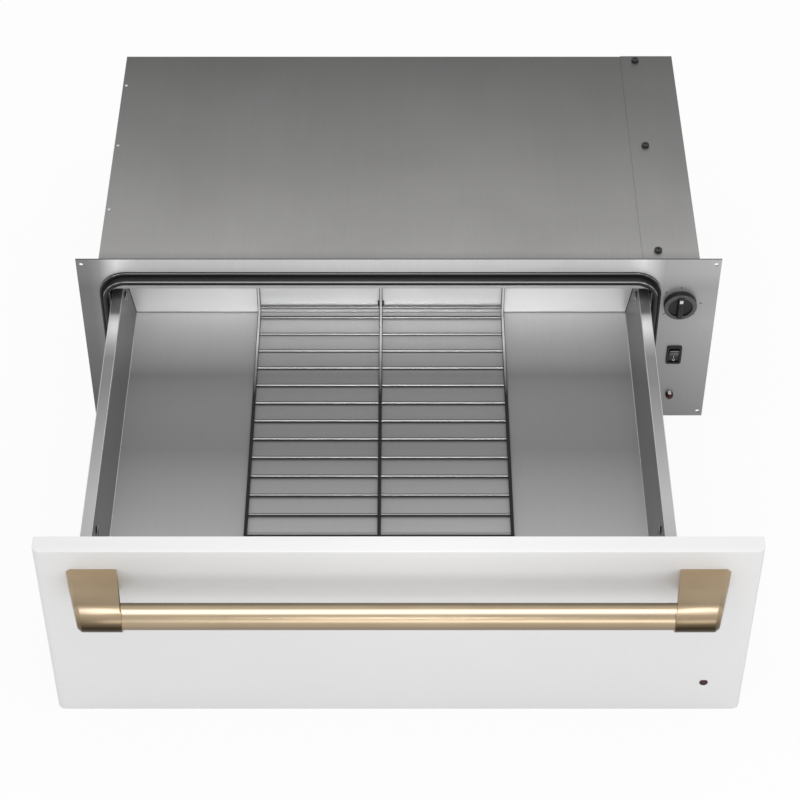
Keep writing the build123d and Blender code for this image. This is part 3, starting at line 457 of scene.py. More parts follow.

# %% [markdown]
# ## Painted reflections, light and shade on metal
#
# Bright metal shows the room round it: the pale walls, and the dark gaps between them. Such a room
# could be built from screens, but each screen would light every other piece too. So the room's
# reflections, with highlights and shade, are painted into the finish. A fade changes the colour from
# place to place along one axis of the object. A tint changes it where the surface faces one way.
# Neither asks where the camera stands.


# %% Fades and tints
def fade_along(tree, colour, axis, stops):
    """Multiplies the colour by painted light and shade that change from place to place along one
    axis.
    """
    place = tree.nodes.new("ShaderNodeTexCoord")
    parts = tree.nodes.new("ShaderNodeSeparateXYZ")
    span = tree.nodes.new("ShaderNodeMapRange")
    first, last = stops[0][0], stops[-1][0]
    top = max(tone for _, tone in stops)
    span.inputs["From Min"].default_value, span.inputs["From Max"].default_value = first, last
    ramp = tree.nodes.new("ShaderNodeValToRGB")
    marks = ramp.color_ramp.elements
    while len(marks) < len(stops):
        marks.new(0.5)
    for mark, (where, tone) in zip(marks, stops):
        mark.position = (where - first) / (last - first)
        mark.color = (tone / top, tone / top, tone / top, 1)
    scale = tree.nodes.new("ShaderNodeVectorMath")
    scale.operation = "SCALE"
    scale.inputs["Scale"].default_value = top
    product = tree.nodes.new("ShaderNodeVectorMath")
    product.operation = "MULTIPLY"
    link = tree.links.new
    link(place.outputs["Object"], parts.inputs[0])
    link(parts.outputs[axis], span.inputs["Value"])
    link(span.outputs["Result"], ramp.inputs[0])
    link(ramp.outputs["Color"], scale.inputs[0])
    link(scale.outputs[0], product.inputs[0])
    link(colour, product.inputs[1])
    return product.outputs[0]


def tint_by_facing(tree, colour, direction, start, full, tint):
    """Paints highlights and shade: goes over to the tint where the surface comes to face the
    direction.
    """
    normal = tree.nodes.new("ShaderNodeNewGeometry")
    along = tree.nodes.new("ShaderNodeVectorMath")
    along.operation = "DOT_PRODUCT"
    along.inputs[1].default_value = Vector(direction).normalized()
    mask = tree.nodes.new("ShaderNodeMapRange")
    mask.inputs["From Min"].default_value, mask.inputs["From Max"].default_value = start, full
    mix = tree.nodes.new("ShaderNodeMix")
    mix.data_type = "RGBA"
    mix.inputs[7].default_value = (*tint, 1)
    link = tree.links.new
    link(normal.outputs["Normal"], along.inputs[0])
    link(along.outputs["Value"], mask.inputs["Value"])
    link(mask.outputs["Result"], mix.inputs[0])
    link(colour, mix.inputs[6])
    return mix.outputs[2]


# %% [markdown]
# ## How a finish is put together
#
# Each finish goes from a darker to a lighter tone by the mottle and the texture together, and its
# roughness follows the same mask. The fine relief comes from the brushing or the grain. What is the
# same all over, such as the metal's share or the gloss, is set on the shader itself.


# %% Finish builder
def make_finish(name, dark, light, rough, metallic=0.0, texture="grain", fineness=1800.0,
                stretch=(1, 1, 1), relief_mm=0.01, patch=6.0, tints=(), fades=(), shader=None):
    """A material whose tone, roughness and relief all change over the surface."""
    material = bpy.data.materials.new(name)
    material.use_nodes = True
    tree = material.node_tree
    surface = tree.nodes["Principled BSDF"]
    link = tree.links.new
    place = tree.nodes.new("ShaderNodeTexCoord")
    mapping = tree.nodes.new("ShaderNodeMapping")
    mapping.inputs["Scale"].default_value = stretch
    link(place.outputs["Object"], mapping.inputs["Vector"])
    effect = tree.nodes.new("ShaderNodeGroup")
    effect.node_tree = EFFECTS[texture]
    effect.inputs["Fineness"].default_value = fineness
    link(mapping.outputs[0], effect.inputs["Vector"])
    cloud = tree.nodes.new("ShaderNodeGroup")
    cloud.node_tree = EFFECTS["mottle"]
    cloud.inputs["Size"].default_value = patch
    link(place.outputs["Object"], cloud.inputs["Vector"])
    tone = tree.nodes.new("ShaderNodeMix")
    tone.inputs["Factor"].default_value = 0.5
    link(cloud.outputs["Mask"], tone.inputs[2])
    link(effect.outputs["Mask"], tone.inputs[3])
    colour = tree.nodes.new("ShaderNodeMix")
    colour.data_type = "RGBA"
    colour.inputs[6].default_value = (*dark, 1)
    colour.inputs[7].default_value = (*light, 1)
    link(tone.outputs[0], colour.inputs[0])
    result = colour.outputs[2]
    for fade in fades:
        result = fade_along(tree, result, *fade)
    for tint in tints:
        result = tint_by_facing(tree, result, *tint)
    link(result, surface.inputs["Base Color"])
    roughness = tree.nodes.new("ShaderNodeMapRange")
    roughness.inputs["To Min"].default_value, roughness.inputs["To Max"].default_value = rough
    link(tone.outputs[0], roughness.inputs["Value"])
    link(roughness.outputs["Result"], surface.inputs["Roughness"])
    bump = tree.nodes.new("ShaderNodeBump")
    bump.inputs["Strength"].default_value = 0.5
    bump.inputs["Distance"].default_value = relief_mm * MM
    link(effect.outputs["Height"], bump.inputs["Height"])
    link(bump.outputs[0], surface.inputs["Normal"])
    surface.inputs["Metallic"].default_value = metallic
    for socket, value in (shader or {}).items():
        surface.inputs[socket].default_value = value
    return material


def grey(level):
    return (level, level, level)


# %% [markdown]
# ## The finishes
#
# Steel comes in several coats here: the face frame is brushed, the pan is a softer satin, and the
# case is dull galvanised sheet. The pan's flat strips have the same satin with a painted light band
# near the frame and painted shadow under the gasket, and the pan's folds carry a fine painted
# highlight line. The handle is bronze: its tube is brushed along its length, and its cast brackets
# have painted shade that darkens them towards the nose. The rack's long wires have painted
# reflections, bright at the back and black at the front, which one plain chrome could do only
# with a room to reflect.

# %% Tones
# A pattern is drawn out along one axis by a small scale there.
ALONG_X = (0.03, 1.0, 1.0)
ALONG_Y = (1.0, 0.03, 1.0)
ALONG_Z = (1.0, 1.0, 0.03)
UP, TO_FRONT, UP_TO_FRONT = (0, 0, 1), (0, -1, 0), (0, -1, 1)
TO_RIGHT, TO_LEFT = (1, 0, 0), (-1, 0, 0)
UP_TO_RIGHT, UP_TO_LEFT = (1, 0, 1), (-1, 0, 1)

# Fades of painted light and shade: the place along the axis, and the factor on the colour there.
# Painted light and shade on the frame: darker at its left and right ends, lighter towards its top.
FRAME_PAINTED_LIGHT_ACROSS = [(-0.377, 0.24), (-0.363, 0.26), (-0.350, 0.37), (-0.330, 1.0),
                (0.285, 1.0), (0.312, 0.48), (0.377, 0.54)]
FRAME_PAINTED_LIGHT_UP = [(-0.1295, 1.15), (0.03, 1.95), (0.085, 1.65), (0.106, 2.0), (0.1295, 2.1)]
# Painted light on the pan: bright near the back, dark in the middle, lighter towards the front.
PAN_PAINTED_LIGHT_ALONG = [(-0.427, 0.78), (-0.34, 0.64), (-0.20, 0.31), (-0.08, 0.36), (-0.02, 1.05),
             (0.03, 1.55)]
# Painted light and shadow on the strips: a light band near the frame, and shadow under the gasket.
STRIP_PAINTED_LIGHT_ALONG = [(-0.43, 0.75), (-0.33, 0.76), (-0.213, 0.50), (-0.15, 0.37), (-0.11, 0.37),
               (-0.090, 0.60), (-0.062, 1.27), (-0.050, 1.31), (-0.040, 0.95), (-0.034, 0.32),
               (0.03, 0.22)]
# Painted shadow on the case top just behind the frame, then a painted light band, darker towards the
# back.
CASE_PAINTED_LIGHT_ALONG = [(0.0, 0.55), (0.03, 0.98), (0.06, 1.65), (0.22, 1.15), (0.45, 0.66)]
# Painted reflections on the long wires: black at the front, bright towards the back.
WIRE_PAINTED_LIGHT_ALONG = [(-0.43, 0.02), (-0.12, 0.02), (-0.065, 0.45), (-0.03, 1.0), (0.03, 1.0)]
# Painted shade along the brackets, darker towards the nose.
CAST_PAINTED_SHADE_ALONG = [(-0.515, 0.9), (-0.500, 0.9), (-0.496, 0.62), (-0.448, 1.15)]

# Tints of painted highlights, reflections and shade: the direction, how squarely a face has to look
# that way for the tint to start and to be full, and the colour.
# A painted highlight line along the pan's folds.
FOLD_PAINTED_HIGHLIGHTS = [(way, 0.94, 0.985, grey(0.66)) for way in (UP_TO_RIGHT, UP_TO_LEFT)]
# Painted light on the pan's back wall and painted shade on its side walls.
PAN_PAINTED_LIGHT_TINTS = [(TO_FRONT, 0.7, 0.95, grey(0.92)), (TO_RIGHT, 0.7, 0.95, grey(0.23)),
             (TO_LEFT, 0.7, 0.95, grey(0.23)), *FOLD_PAINTED_HIGHLIGHTS]
# Painted shade on the long wires' left and right sides.
WIRE_PAINTED_SHADE_TINTS = [(way, 0.50, 0.75, grey(0.03)) for way in (TO_RIGHT, TO_LEFT)]
# Painted highlight band on the tube's upper front; painted dark reflections on its upper back and
# underside.
TUBE_PAINTED_REFLECTIONS = [
    ((0, -0.34, 0.94), 0.965, 0.995, (0.61, 0.515, 0.40)),
    ((0, 0.87, 0.5), 0.60, 0.92, (0.11, 0.08, 0.045)),
    ((0, -0.34, -0.94), 0.20, 0.85, (0.13, 0.095, 0.06)),
]
# Painted highlight band on the brackets' upper front, and painted dark reflection below the nose.
CAST_PAINTED_REFLECTIONS = [
    ((0, -0.34, 0.94), 0.960, 0.992, (0.60, 0.49, 0.36)),
    ((0, -0.82, -0.57), 0.0, 0.80, (0.04, 0.026, 0.012)),
]
print("stops on the strip:", len(STRIP_PAINTED_LIGHT_ALONG), "tints on the tube:", len(TUBE_PAINTED_REFLECTIONS))

# %% Metal finishes
PAN_SATIN = dict(rough=(0.30, 0.42), metallic=0.45, texture="brushing", fineness=1100,
                 stretch=ALONG_Y, relief_mm=0.002, patch=2.2)

FINISHES = {
    # The frame's up-facing top edge is painted dark as shade.
    "stainless": make_finish(
        "frame_stainless_painted_light", grey(0.40), grey(0.50), rough=(0.28, 0.42), metallic=0.4,
        texture="brushing", fineness=900, stretch=ALONG_Z, relief_mm=0.006, patch=3.0,
        fades=[("X", FRAME_PAINTED_LIGHT_ACROSS), ("Z", FRAME_PAINTED_LIGHT_UP)], tints=[(UP, 0.6, 0.9, grey(0.03))]),
    # The pan's satin carries painted light and shade.
    "pan_steel": make_finish(
        "pan_satin_steel_painted_light", grey(0.52), grey(0.64), **PAN_SATIN, fades=[("Y", PAN_PAINTED_LIGHT_ALONG)],
        tints=PAN_PAINTED_LIGHT_TINTS),
    "liner_steel": make_finish(
        "liner_steel", grey(0.26), (0.36, 0.36, 0.35), rough=(0.35, 0.5), metallic=1.0,
        texture="brushing", fineness=800, stretch=ALONG_Y, relief_mm=0.006, patch=3.0),
    # The case's sheet carries painted light and shadow along its depth.
    "galvanised_sheet": make_finish(
        "galvanised_sheet", (0.168, 0.166, 0.164), (0.228, 0.226, 0.223), rough=(0.38, 0.5),
        metallic=1.0, texture="brushing", fineness=500, stretch=ALONG_Y, relief_mm=0.004,
        patch=4.0, fades=[("Y", CASE_PAINTED_LIGHT_ALONG)]),
    "zinc_steel": make_finish(
        "zinc_plated_steel", (0.40, 0.41, 0.42), (0.55, 0.56, 0.57), rough=(0.22, 0.36),
        metallic=1.0, texture="brushing", fineness=900, stretch=ALONG_Y, relief_mm=0.004,
        patch=9.0),
    "ball_steel": make_finish(
        "ball_steel", (0.50, 0.50, 0.52), (0.64, 0.64, 0.66), rough=(0.08, 0.2), metallic=1.0,
        fineness=900, relief_mm=0.002),
    # The bronze carries the tube's painted highlight and dark reflections.
    "brushed_bronze": make_finish(
        "brushed_bronze", (0.36, 0.275, 0.18), (0.47, 0.38, 0.265), rough=(0.24, 0.36),
        metallic=1.0, texture="brushing", fineness=1300, stretch=ALONG_X, relief_mm=0.006,
        patch=9.0, tints=TUBE_PAINTED_REFLECTIONS),
    # The cross wires are painted: a dark base stands in for dark reflections, with a painted
    # highlight where they face up and forward.
    "rack_chrome": make_finish(
        "rack_chrome", grey(0.06), grey(0.10), rough=(0.29, 0.32), metallic=1.0, fineness=700,
        relief_mm=0.0003, patch=14.0, tints=[(UP_TO_FRONT, 0.78, 0.98, grey(0.30))]),
    "element_sheath": make_finish(
        "element_sheath", (0.10, 0.075, 0.065), (0.22, 0.20, 0.19), rough=(0.35, 0.55),
        metallic=1.0, fineness=1500, patch=18.0),
    "copper": make_finish(
        "drawn_copper", (0.42, 0.20, 0.11), (0.62, 0.33, 0.20), rough=(0.2, 0.36), metallic=1.0,
        texture="brushing", fineness=1500, stretch=ALONG_Y, relief_mm=0.004, patch=20.0),
    "terminal_brass": make_finish(
        "turned_brass", (0.50, 0.36, 0.14), (0.68, 0.52, 0.25), rough=(0.2, 0.34), metallic=1.0,
        texture="brushing", fineness=2500, stretch=(1, 1, 0.2), relief_mm=0.004, patch=20.0),
    "rivet_aluminium": make_finish(
        "rivet_aluminium", (0.50, 0.50, 0.51), (0.66, 0.66, 0.67), rough=(0.3, 0.45),
        metallic=1.0, fineness=2500, patch=40.0),
    "dark_screw": make_finish(
        "blackened_screw", grey(0.02), (0.06, 0.06, 0.062), rough=(0.35, 0.5), metallic=0.6,
        fineness=2500, patch=40.0),
}
print("metal finishes:", len(FINISHES))

# %% [markdown]
# The rest is enamel, rubber, plastic, wool and ceramic. The front is matt white enamel with a very
# fine orange peel. The gasket has a painted highlight along its ridges, also round its two upper
# corners: each tint in its list paints one part of the turn. The lamp's lens is nearly black
# glass-like red with one painted pale glint near its top.

# %% Other finishes
# Painted highlights along the gasket's ridges, one tint for each part of a corner's turn.
GASKET_HIGHLIGHT_TURNS = (-66, -44, -22, 0, 22, 44, 66)
GASKET_HIGHLIGHT_LEAN = -0.55
GASKET_PAINTED_HIGHLIGHTS = [
    ((math.sin(math.radians(turn)), GASKET_HIGHLIGHT_LEAN, math.cos(math.radians(turn))), 0.975, 0.995,
     grey(0.42)) for turn in GASKET_HIGHLIGHT_TURNS]
LOW_GLOSS = {"Specular IOR Level": 0.3}

FINISHES.update({
    "white_enamel": make_finish(
        "white_enamel", grey(0.80), grey(0.85), rough=(0.42, 0.5), fineness=420,
        relief_mm=0.006, patch=3.0, shader={"Specular IOR Level": 0.35}),
    "black_rubber": make_finish(
        "gasket_rubber", grey(0.012), grey(0.022), rough=(0.34, 0.46), fineness=1500,
        relief_mm=0.006, patch=10.0, tints=GASKET_PAINTED_HIGHLIGHTS, shader=LOW_GLOSS),
    "black_plastic": make_finish(
        "black_plastic", grey(0.010), grey(0.020), rough=(0.30, 0.42), fineness=2600,
        patch=12.0, shader=LOW_GLOSS),
    # A painted pale glint where the lens faces up.
    "red_plastic": make_finish(
        "lamp_red_painted_glint", (0.022, 0.002, 0.002), (0.050, 0.004, 0.005), rough=(0.10, 0.18),
        fineness=900, relief_mm=0.002, patch=60.0, shader=LOW_GLOSS,
        tints=[((0, -0.15, 0.98), 0.86, 0.93, (0.80, 0.76, 0.76))]),
    "lamp_plastic": make_finish(
        "lamp_body_plastic", (0.62, 0.60, 0.54), (0.74, 0.72, 0.66), rough=(0.4, 0.5),
        patch=30.0),
    "glass_wool": make_finish(
        "glass_wool", (0.55, 0.49, 0.30), (0.80, 0.75, 0.55), rough=(0.85, 0.95), fineness=420,
        stretch=(1, 0.35, 1), relief_mm=0.8, patch=30.0, shader={"Sheen Weight": 0.3}),
    "terminal_ceramic": make_finish(
        "steatite", (0.70, 0.67, 0.58), (0.80, 0.78, 0.70), rough=(0.5, 0.65), fineness=1400,
        patch=30.0),
    "wire_sleeve": make_finish(
        "wire_sleeve", (0.36, 0.045, 0.03), (0.46, 0.07, 0.045), rough=(0.35, 0.5),
        fineness=1400, patch=25.0),
})
print("finishes by slot:", len(FINISHES))

# %% Finishes for single pieces
legend_ink = make_finish(
    "legend_ink", grey(0.03), grey(0.06), rough=(0.5, 0.6), fineness=3000, patch=90.0)
white_ink = make_finish(
    "white_ink", grey(0.72), grey(0.84), rough=(0.45, 0.55), fineness=3000, patch=90.0)
# The brackets' bronze with painted shade, highlight and dark reflection.
cast_bronze_painted_light = make_finish(
    "cast_bronze_painted_light", (0.40, 0.30, 0.19), (0.53, 0.42, 0.285), rough=(0.26, 0.38), metallic=1.0,
    texture="brushing", fineness=1300, stretch=ALONG_X, relief_mm=0.006, patch=9.0,
    fades=[("Y", CAST_PAINTED_SHADE_ALONG)], tints=CAST_PAINTED_REFLECTIONS)
# A lighter black that paints the sheen on the knob's front rim.
painted_sheen_black = make_finish(
    "painted_sheen_black", grey(0.07), grey(0.125), rough=(0.35, 0.45), fineness=2600, patch=60.0,
    shader=LOW_GLOSS)
# A grey that paints the highlight on the rocker's ribs.
painted_highlight_grey = make_finish(
    "painted_highlight_grey", grey(0.26), grey(0.38), rough=(0.35, 0.45), fineness=2600, patch=60.0)
# Chrome with painted reflections and shade, bright at the back and black at the front.
long_wire_painted_chrome = make_finish(
    "long_wire_painted_chrome", grey(0.80), grey(0.90), rough=(0.24, 0.32), metallic=0.35, fineness=700,
    relief_mm=0.0003, patch=14.0, fades=[("Y", WIRE_PAINTED_LIGHT_ALONG)], tints=WIRE_PAINTED_SHADE_TINTS,
    shader={"Specular IOR Level": 0.15})
# The strips' satin with painted light and shadow, and the folds' painted highlight.
strip_steel_painted_light = make_finish(
    "pan_strip_painted_light", grey(0.52), grey(0.64), **PAN_SATIN, fades=[("Y", STRIP_PAINTED_LIGHT_ALONG)],
    tints=FOLD_PAINTED_HIGHLIGHTS)
print("materials in all:", len(bpy.data.materials))

# %% [markdown]
# ## Dressing the CAD model
#
# The record names a finish slot for each CAD node, so one loop dresses them all. The rack's long
# wires share a slot with its cross wires, and get their own chrome with painted reflections
# afterwards.

# %% Dress the CAD nodes
slot_of = {entry["node"]: entry["material_slot"] for entry in frame["record"]["subparts"]}
for node, piece in nodes.items():
    piece.data.materials.clear()
    piece.data.materials.append(FINISHES[slot_of[node]])
nodes["rack_long_wires"].data.materials[0] = long_wire_painted_chrome
print("dressed:", len(slot_of))

# %% [markdown]
# ## The front panel
#
# The real front is a steel tray with its rims folded back, sprayed white. Its upright corners are
# clearly round and its long edges only just broken. A tray can be cut from a block: open the back,
# roll the upright front corners, soften the rest, then give the skin its thickness inwards.

# %% Front panel
CORNER_ROLL_MM = 8.8
EDGE_BREAK_MM = 1.1
SKIN_MM = 1.5

low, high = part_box("panel_skin")
middle_z = (low.z + high.z) / 2
panel = start_block("front_panel_shell", low, high)
edit()
pick("faces", lambda face: face.normal.y > FACING)
bpy.ops.mesh.delete(type="ONLY_FACE")
pick("edges", lambda edge: near(mid_of(edge).y, low.y) and near(mid_of(edge).z, middle_z))
bpy.ops.mesh.bevel(offset=CORNER_ROLL_MM * MM, segments=10, affect="EDGES")
leave_edit()
soften(panel, EDGE_BREAK_MM, angle=60)
apply_modifier(panel, "SOLIDIFY", thickness=SKIN_MM * MM, offset=-1.0)
smooth(panel)
panel.data.materials.append(FINISHES["white_enamel"])
settle(panel, "drawer", "white_enamel", "panel_skin")

# %% [markdown]
# ## The handle's brackets
#
# Each bracket is a casting: a flat-topped block on the panel that ends in a half round nose, with
# the tube let into its inner face. It starts here as a short drum on the tube's axis. The drum's
# back half is cut away and the flat is drawn out to the panel; two slanting cuts then give the
# taper, and the outer rim gets its broad chamfer. The other bracket is a mirrored copy.

# %% Right bracket
TAPER_OUTER_MM = 18.0
TAPER_INNER_MM = 10.0
BRACKET_CHAMFER_MM = 4.0
CAST_EDGE_MM = 0.7

low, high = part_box("handle_bracket_right")
tube_low, tube_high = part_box("handle_tube")
axis_y, axis_z = (tube_low.y + tube_high.y) / 2, (tube_low.z + tube_high.z) / 2
nose_radius = (high.z - low.z) / 2
panel_face_y = high.y
inner_x, outer_x = low.x + TAPER_INNER_MM * MM, high.x
reach = panel_face_y - (axis_y - nose_radius)

bracket = start_disc("handle_bracket_cast_right", ((low.x + outer_x) / 2, axis_y, axis_z),
                     nose_radius, outer_x - low.x, corners=96, turn=LYING_ALONG_X)
edit()
cut_off((0, axis_y, 0), (0, 1, 0))
pick("faces", lambda face: face.normal.y > FACING)
bpy.ops.mesh.extrude_region_move(
    TRANSFORM_OT_translate={"value": (0, panel_face_y - axis_y, 0)})
cut_off((outer_x, panel_face_y, 0), (reach, -TAPER_OUTER_MM * MM, 0))
cut_off((inner_x, panel_face_y, 0), (-reach, TAPER_INNER_MM * MM, 0))
merge_doubles()


def on_outer_rim(edge):
    """An edge between the leaning outer face and the rest, off the panel."""
    tilts = [face.normal.x > FACING for face in edge.link_faces]
    return any(tilts) and not all(tilts) and not near(mid_of(edge).y, panel_face_y)


pick("edges", on_outer_rim)
bpy.ops.mesh.bevel(offset=BRACKET_CHAMFER_MM * MM, segments=1, affect="EDGES")
leave_edit()
soften(bracket, CAST_EDGE_MM, steps=2, angle=30)
smooth(bracket, 35)
bracket.data.materials.append(cast_bronze_painted_light)

# %% Left bracket
choose(bracket)
bpy.ops.object.duplicate()
other = bpy.context.object
other.name = "handle_bracket_cast_left"
other.scale.x = -1
fix_place()
edit()
pick_all()
bpy.ops.mesh.normals_make_consistent(inside=False)
leave_edit()
settle(bracket, "drawer", "brushed_bronze", "handle_bracket_right")
settle(other, "drawer", "brushed_bronze", "handle_bracket_left")

# %% [markdown]
# ## The drawer pan
#
# The pan is pressed and folded from one sheet: a floor, four walls, and a flat strip with a lip down
# each side. It could be built from plates, but then its folds would have no radius. Here it starts
# as a block with no top. The mouth is widened, the strips and lips are drawn out from its rim, the
# folds are rolled, and the sheet's thickness goes on the outside.

# %% Pan sheet
PAN_LEAN_MM = 9.3
PAN_SHEET_MM = 1.0
STRIP_MM = 12.7
LIP_MM = 5.0
FOLD_MM = 1.4

low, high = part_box("drawer_pan")
centre_x = (low.x + high.x) / 2
mouth_half = (high.x - low.x) / 2 - STRIP_MM * MM
floor_half = mouth_half - PAN_LEAN_MM * MM
pan_floor_z, pan_top_z = low.z + PAN_SHEET_MM * MM, high.z
pan_front_y, pan_back_y = low.y + PAN_SHEET_MM * MM, high.y - PAN_SHEET_MM * MM

pan = start_block("drawer_pan_folded", (centre_x - floor_half, pan_front_y, pan_floor_z),
                  (centre_x + floor_half, pan_back_y, pan_top_z))
edit()
pick("faces", lambda face: face.normal.z > FACING)
bpy.ops.mesh.delete(type="ONLY_FACE")
pick("verts", lambda vert: near(vert.co.z, pan_top_z))
bpy.ops.transform.resize(value=(mouth_half / floor_half, 1, 1), center_override=(centre_x, 0, 0))
for side in (-1, 1):
    rim_x = centre_x + side * mouth_half
    pick("edges", lambda edge: near(mid_of(edge).x, rim_x) and near(mid_of(edge).z, pan_top_z))
    bpy.ops.mesh.extrude_edges_move(
        TRANSFORM_OT_translate={"value": (side * STRIP_MM * MM, 0, 0)})
    bpy.ops.mesh.extrude_edges_move(TRANSFORM_OT_translate={"value": (0, 0, -LIP_MM * MM)})


def is_long_fold(edge):
    """An edge between two faces that runs along the pan, or across it on the floor."""
    if len(edge.link_faces) != 2:
        return False
    run = edge.verts[1].co - edge.verts[0].co
    return abs(run.y) > 0.1 or abs(run.x) > 0.1


pick("edges", is_long_fold)
bpy.ops.mesh.bevel(offset=FOLD_MM * MM, segments=3, affect="EDGES")
merge_doubles()
leave_edit()
apply_modifier(pan, "SOLIDIFY", thickness=PAN_SHEET_MM * MM, offset=1.0, use_even_offset=True)

# %% [markdown]
# Each side wall has two upright oval holes. A black plug with a flange a little wider than the hole
# sits in each: it stands in for the shade seen inside an open hole, a painted shadow. A short drum
# that has been stretched upwards makes the cutter, and the wall is cut with a Boolean, so the hole
# is a real one with the sheet's own edge. A painted dark oval would have no edge to catch the light.
# The flange and the fine bright rim round it are a drum and a ring, stretched the same way.

# %% Oval holes, shade plugs and rims
HOLE_WIDTH_MM = 7.0
HOLE_HEIGHT_MM = 12.0
CUTTER_DEPTH_MM = 12.0
SHADE_PLUG_WIDTH_MM = 10.5
SHADE_PLUG_HEIGHT_MM = 15.5
SHADE_PLUG_DEPTH_MM = 1.2
RIM_WIRE_MM = 0.9
RIM_GAP_MM = 0.4  # from the flange's edge to the middle of the rim's wire
STAND_IN_MM = 0.1  # from the wall's inner face to the middle of flange and rim
WALL_LEAN = math.atan(PAN_LEAN_MM / ((pan_top_z - pan_floor_z) / MM))
HOLES = ((-0.3615, 0.018), (0.0085, 0.014))  # place along Y, drop from the pan's top


def stretch_up(piece, middle_z, extra):
    """Moves the upper half up and the lower half down, which turns a round into an oval."""
    edit()
    for way in (-1, 1):
        pick("verts", lambda vert: (vert.co.z - middle_z) * way > 0.01 * MM)
        bpy.ops.transform.translate(value=(0, 0, way * extra / 2))
    leave_edit()


rims, shade_plugs = [], []
hole_straight = (HOLE_HEIGHT_MM - HOLE_WIDTH_MM) * MM
shade_plug_straight = (SHADE_PLUG_HEIGHT_MM - SHADE_PLUG_WIDTH_MM) * MM
for side in (-1, 1):
    wall_turn = (0, math.pi / 2 - side * WALL_LEAN, 0)
    for hole_y, drop in HOLES:
        hole_z = pan_top_z - drop
        wall_x = centre_x + side * (mouth_half - drop * math.tan(WALL_LEAN))
        flange_place = (wall_x - side * STAND_IN_MM * MM, hole_y, hole_z)
        cutter = start_disc("hole_cutter", (wall_x, hole_y, hole_z), HOLE_WIDTH_MM / 2 * MM,
                            CUTTER_DEPTH_MM * MM, corners=32, turn=LYING_ALONG_X)
        stretch_up(cutter, hole_z, hole_straight)
        apply_modifier(pan, "BOOLEAN", object=cutter, operation="DIFFERENCE", solver="EXACT")
        bpy.data.objects.remove(cutter)
        rim = start_ring(flange_place, (SHADE_PLUG_WIDTH_MM / 2 + RIM_GAP_MM) * MM,
                         RIM_WIRE_MM / 2 * MM, corners=40, turn=wall_turn)
        stretch_up(rim, hole_z, shade_plug_straight)
        rims.append(rim)
        # The black plug stands in for the shade inside the hole: a painted shadow.
        shade_plug = start_disc("hole_shade_plug", flange_place, SHADE_PLUG_WIDTH_MM / 2 * MM, SHADE_PLUG_DEPTH_MM * MM,
                          corners=32, turn=wall_turn)
        stretch_up(shade_plug, hole_z, shade_plug_straight)
        soften(shade_plug, width_mm=0.1, steps=2)
        shade_plugs.append(shade_plug)
rims = join("pan_hole_rims", *rims)
for piece in (pan, rims):
    smooth(piece, 35)
    piece.data.materials.append(FINISHES["pan_steel"])

# %% [markdown]
# The flat strips beside the mouth have a painted light band and painted shadow that the floor and
# the walls don't, so their upper faces get the strip's own steel as the pan's second finish.

# %% The strips' painted light
STRIP_BAND_MM = 0.8  # the strips' faces lie within this of the pan's top


def on_strip(face):
    place = face.calc_center_median()
    outside_mouth = abs(place.x - centre_x) > mouth_half
    return face.normal.z > 0.5 and place.z > pan_top_z - STRIP_BAND_MM * MM and outside_mouth


second_finish(pan, strip_steel_painted_light, on_strip)
shade_plugs = join("pan_hole_shade_plugs", *shade_plugs)
smooth(shade_plugs, 35)
shade_plugs.data.materials.append(FINISHES["black_rubber"])
settle(pan, "drawer", "pan_steel", "drawer_pan")
settle(rims, "drawer", "pan_steel")
settle(shade_plugs, "drawer", "black_rubber")

# %% [markdown]
# ## The pan's seams
#
# The sheet's edges meet at the pan's back in sealed joints, and each shows as a fine dark line: one
# up each corner and one along the floor. The joints are real, and their dark line is partly the
# joint itself and partly painted shadow. A line could be drawn in the steel's material, which would
# have to know where each fold lies. A thin dark rod laid into each joint is simpler.

# %% Seams in the pan's back corners
SEAM_MM = 0.8
SEAM_FORWARD_MM = 0.3  # from the back wall to the middle of a rod
SEAM_FOOT_MM, SEAM_HEAD_MM = 0.9, 1.5  # a rod's ends, over the floor and below the pan's top
FOOT_OUT_MM, HEAD_IN_MM = 0.5, 0.4  # the same ends, sideways from the wall


def seam_rod(start, end):
    """A thin rod between two places."""
    run = Vector(end) - Vector(start)
    middle = (Vector(start) + Vector(end)) / 2
    rod = start_disc("seam_rod", middle, SEAM_MM / 2 * MM, run.length, corners=12,
                     turn=run.to_track_quat("Z", "Y").to_euler())
    smooth(rod, 60)
    return rod


corner_y = pan_back_y - SEAM_FORWARD_MM * MM
foot_z, head_z = pan_floor_z + SEAM_FOOT_MM * MM, pan_top_z - SEAM_HEAD_MM * MM
foot_half = floor_half + FOOT_OUT_MM * MM - (FOLD_MM - SEAM_FOOT_MM) * MM
head_half = mouth_half - SEAM_HEAD_MM * MM * math.tan(WALL_LEAN) - HEAD_IN_MM * MM
seams = [seam_rod((centre_x + side * foot_half, corner_y, foot_z),
                  (centre_x + side * head_half, corner_y, head_z)) for side in (-1, 1)]
seams.append(seam_rod((centre_x - foot_half, corner_y, foot_z),
                      (centre_x + foot_half, corner_y, foot_z)))
seams = join("pan_seams_painted_shadow", *seams)
# The dark rods paint the joints' line: partly the joint, partly shadow.
seams.data.materials.append(FINISHES["dark_screw"])
settle(seams, "drawer", "dark_screw")

# %% [markdown]
# ## The thermostat knob
#
# The knob is moulded: a round skirt, a dished face and a grip bar across it. It could be spun from a
# profile, but the bar isn't round. So a drum gives the skirt; its face is inset and sunk for the
# dish, and a narrow block with a softened top makes the bar. The skirt's front rim is a lighter
# grey, a painted sheen, and a small white mark at the bar's upper end shows where it points.

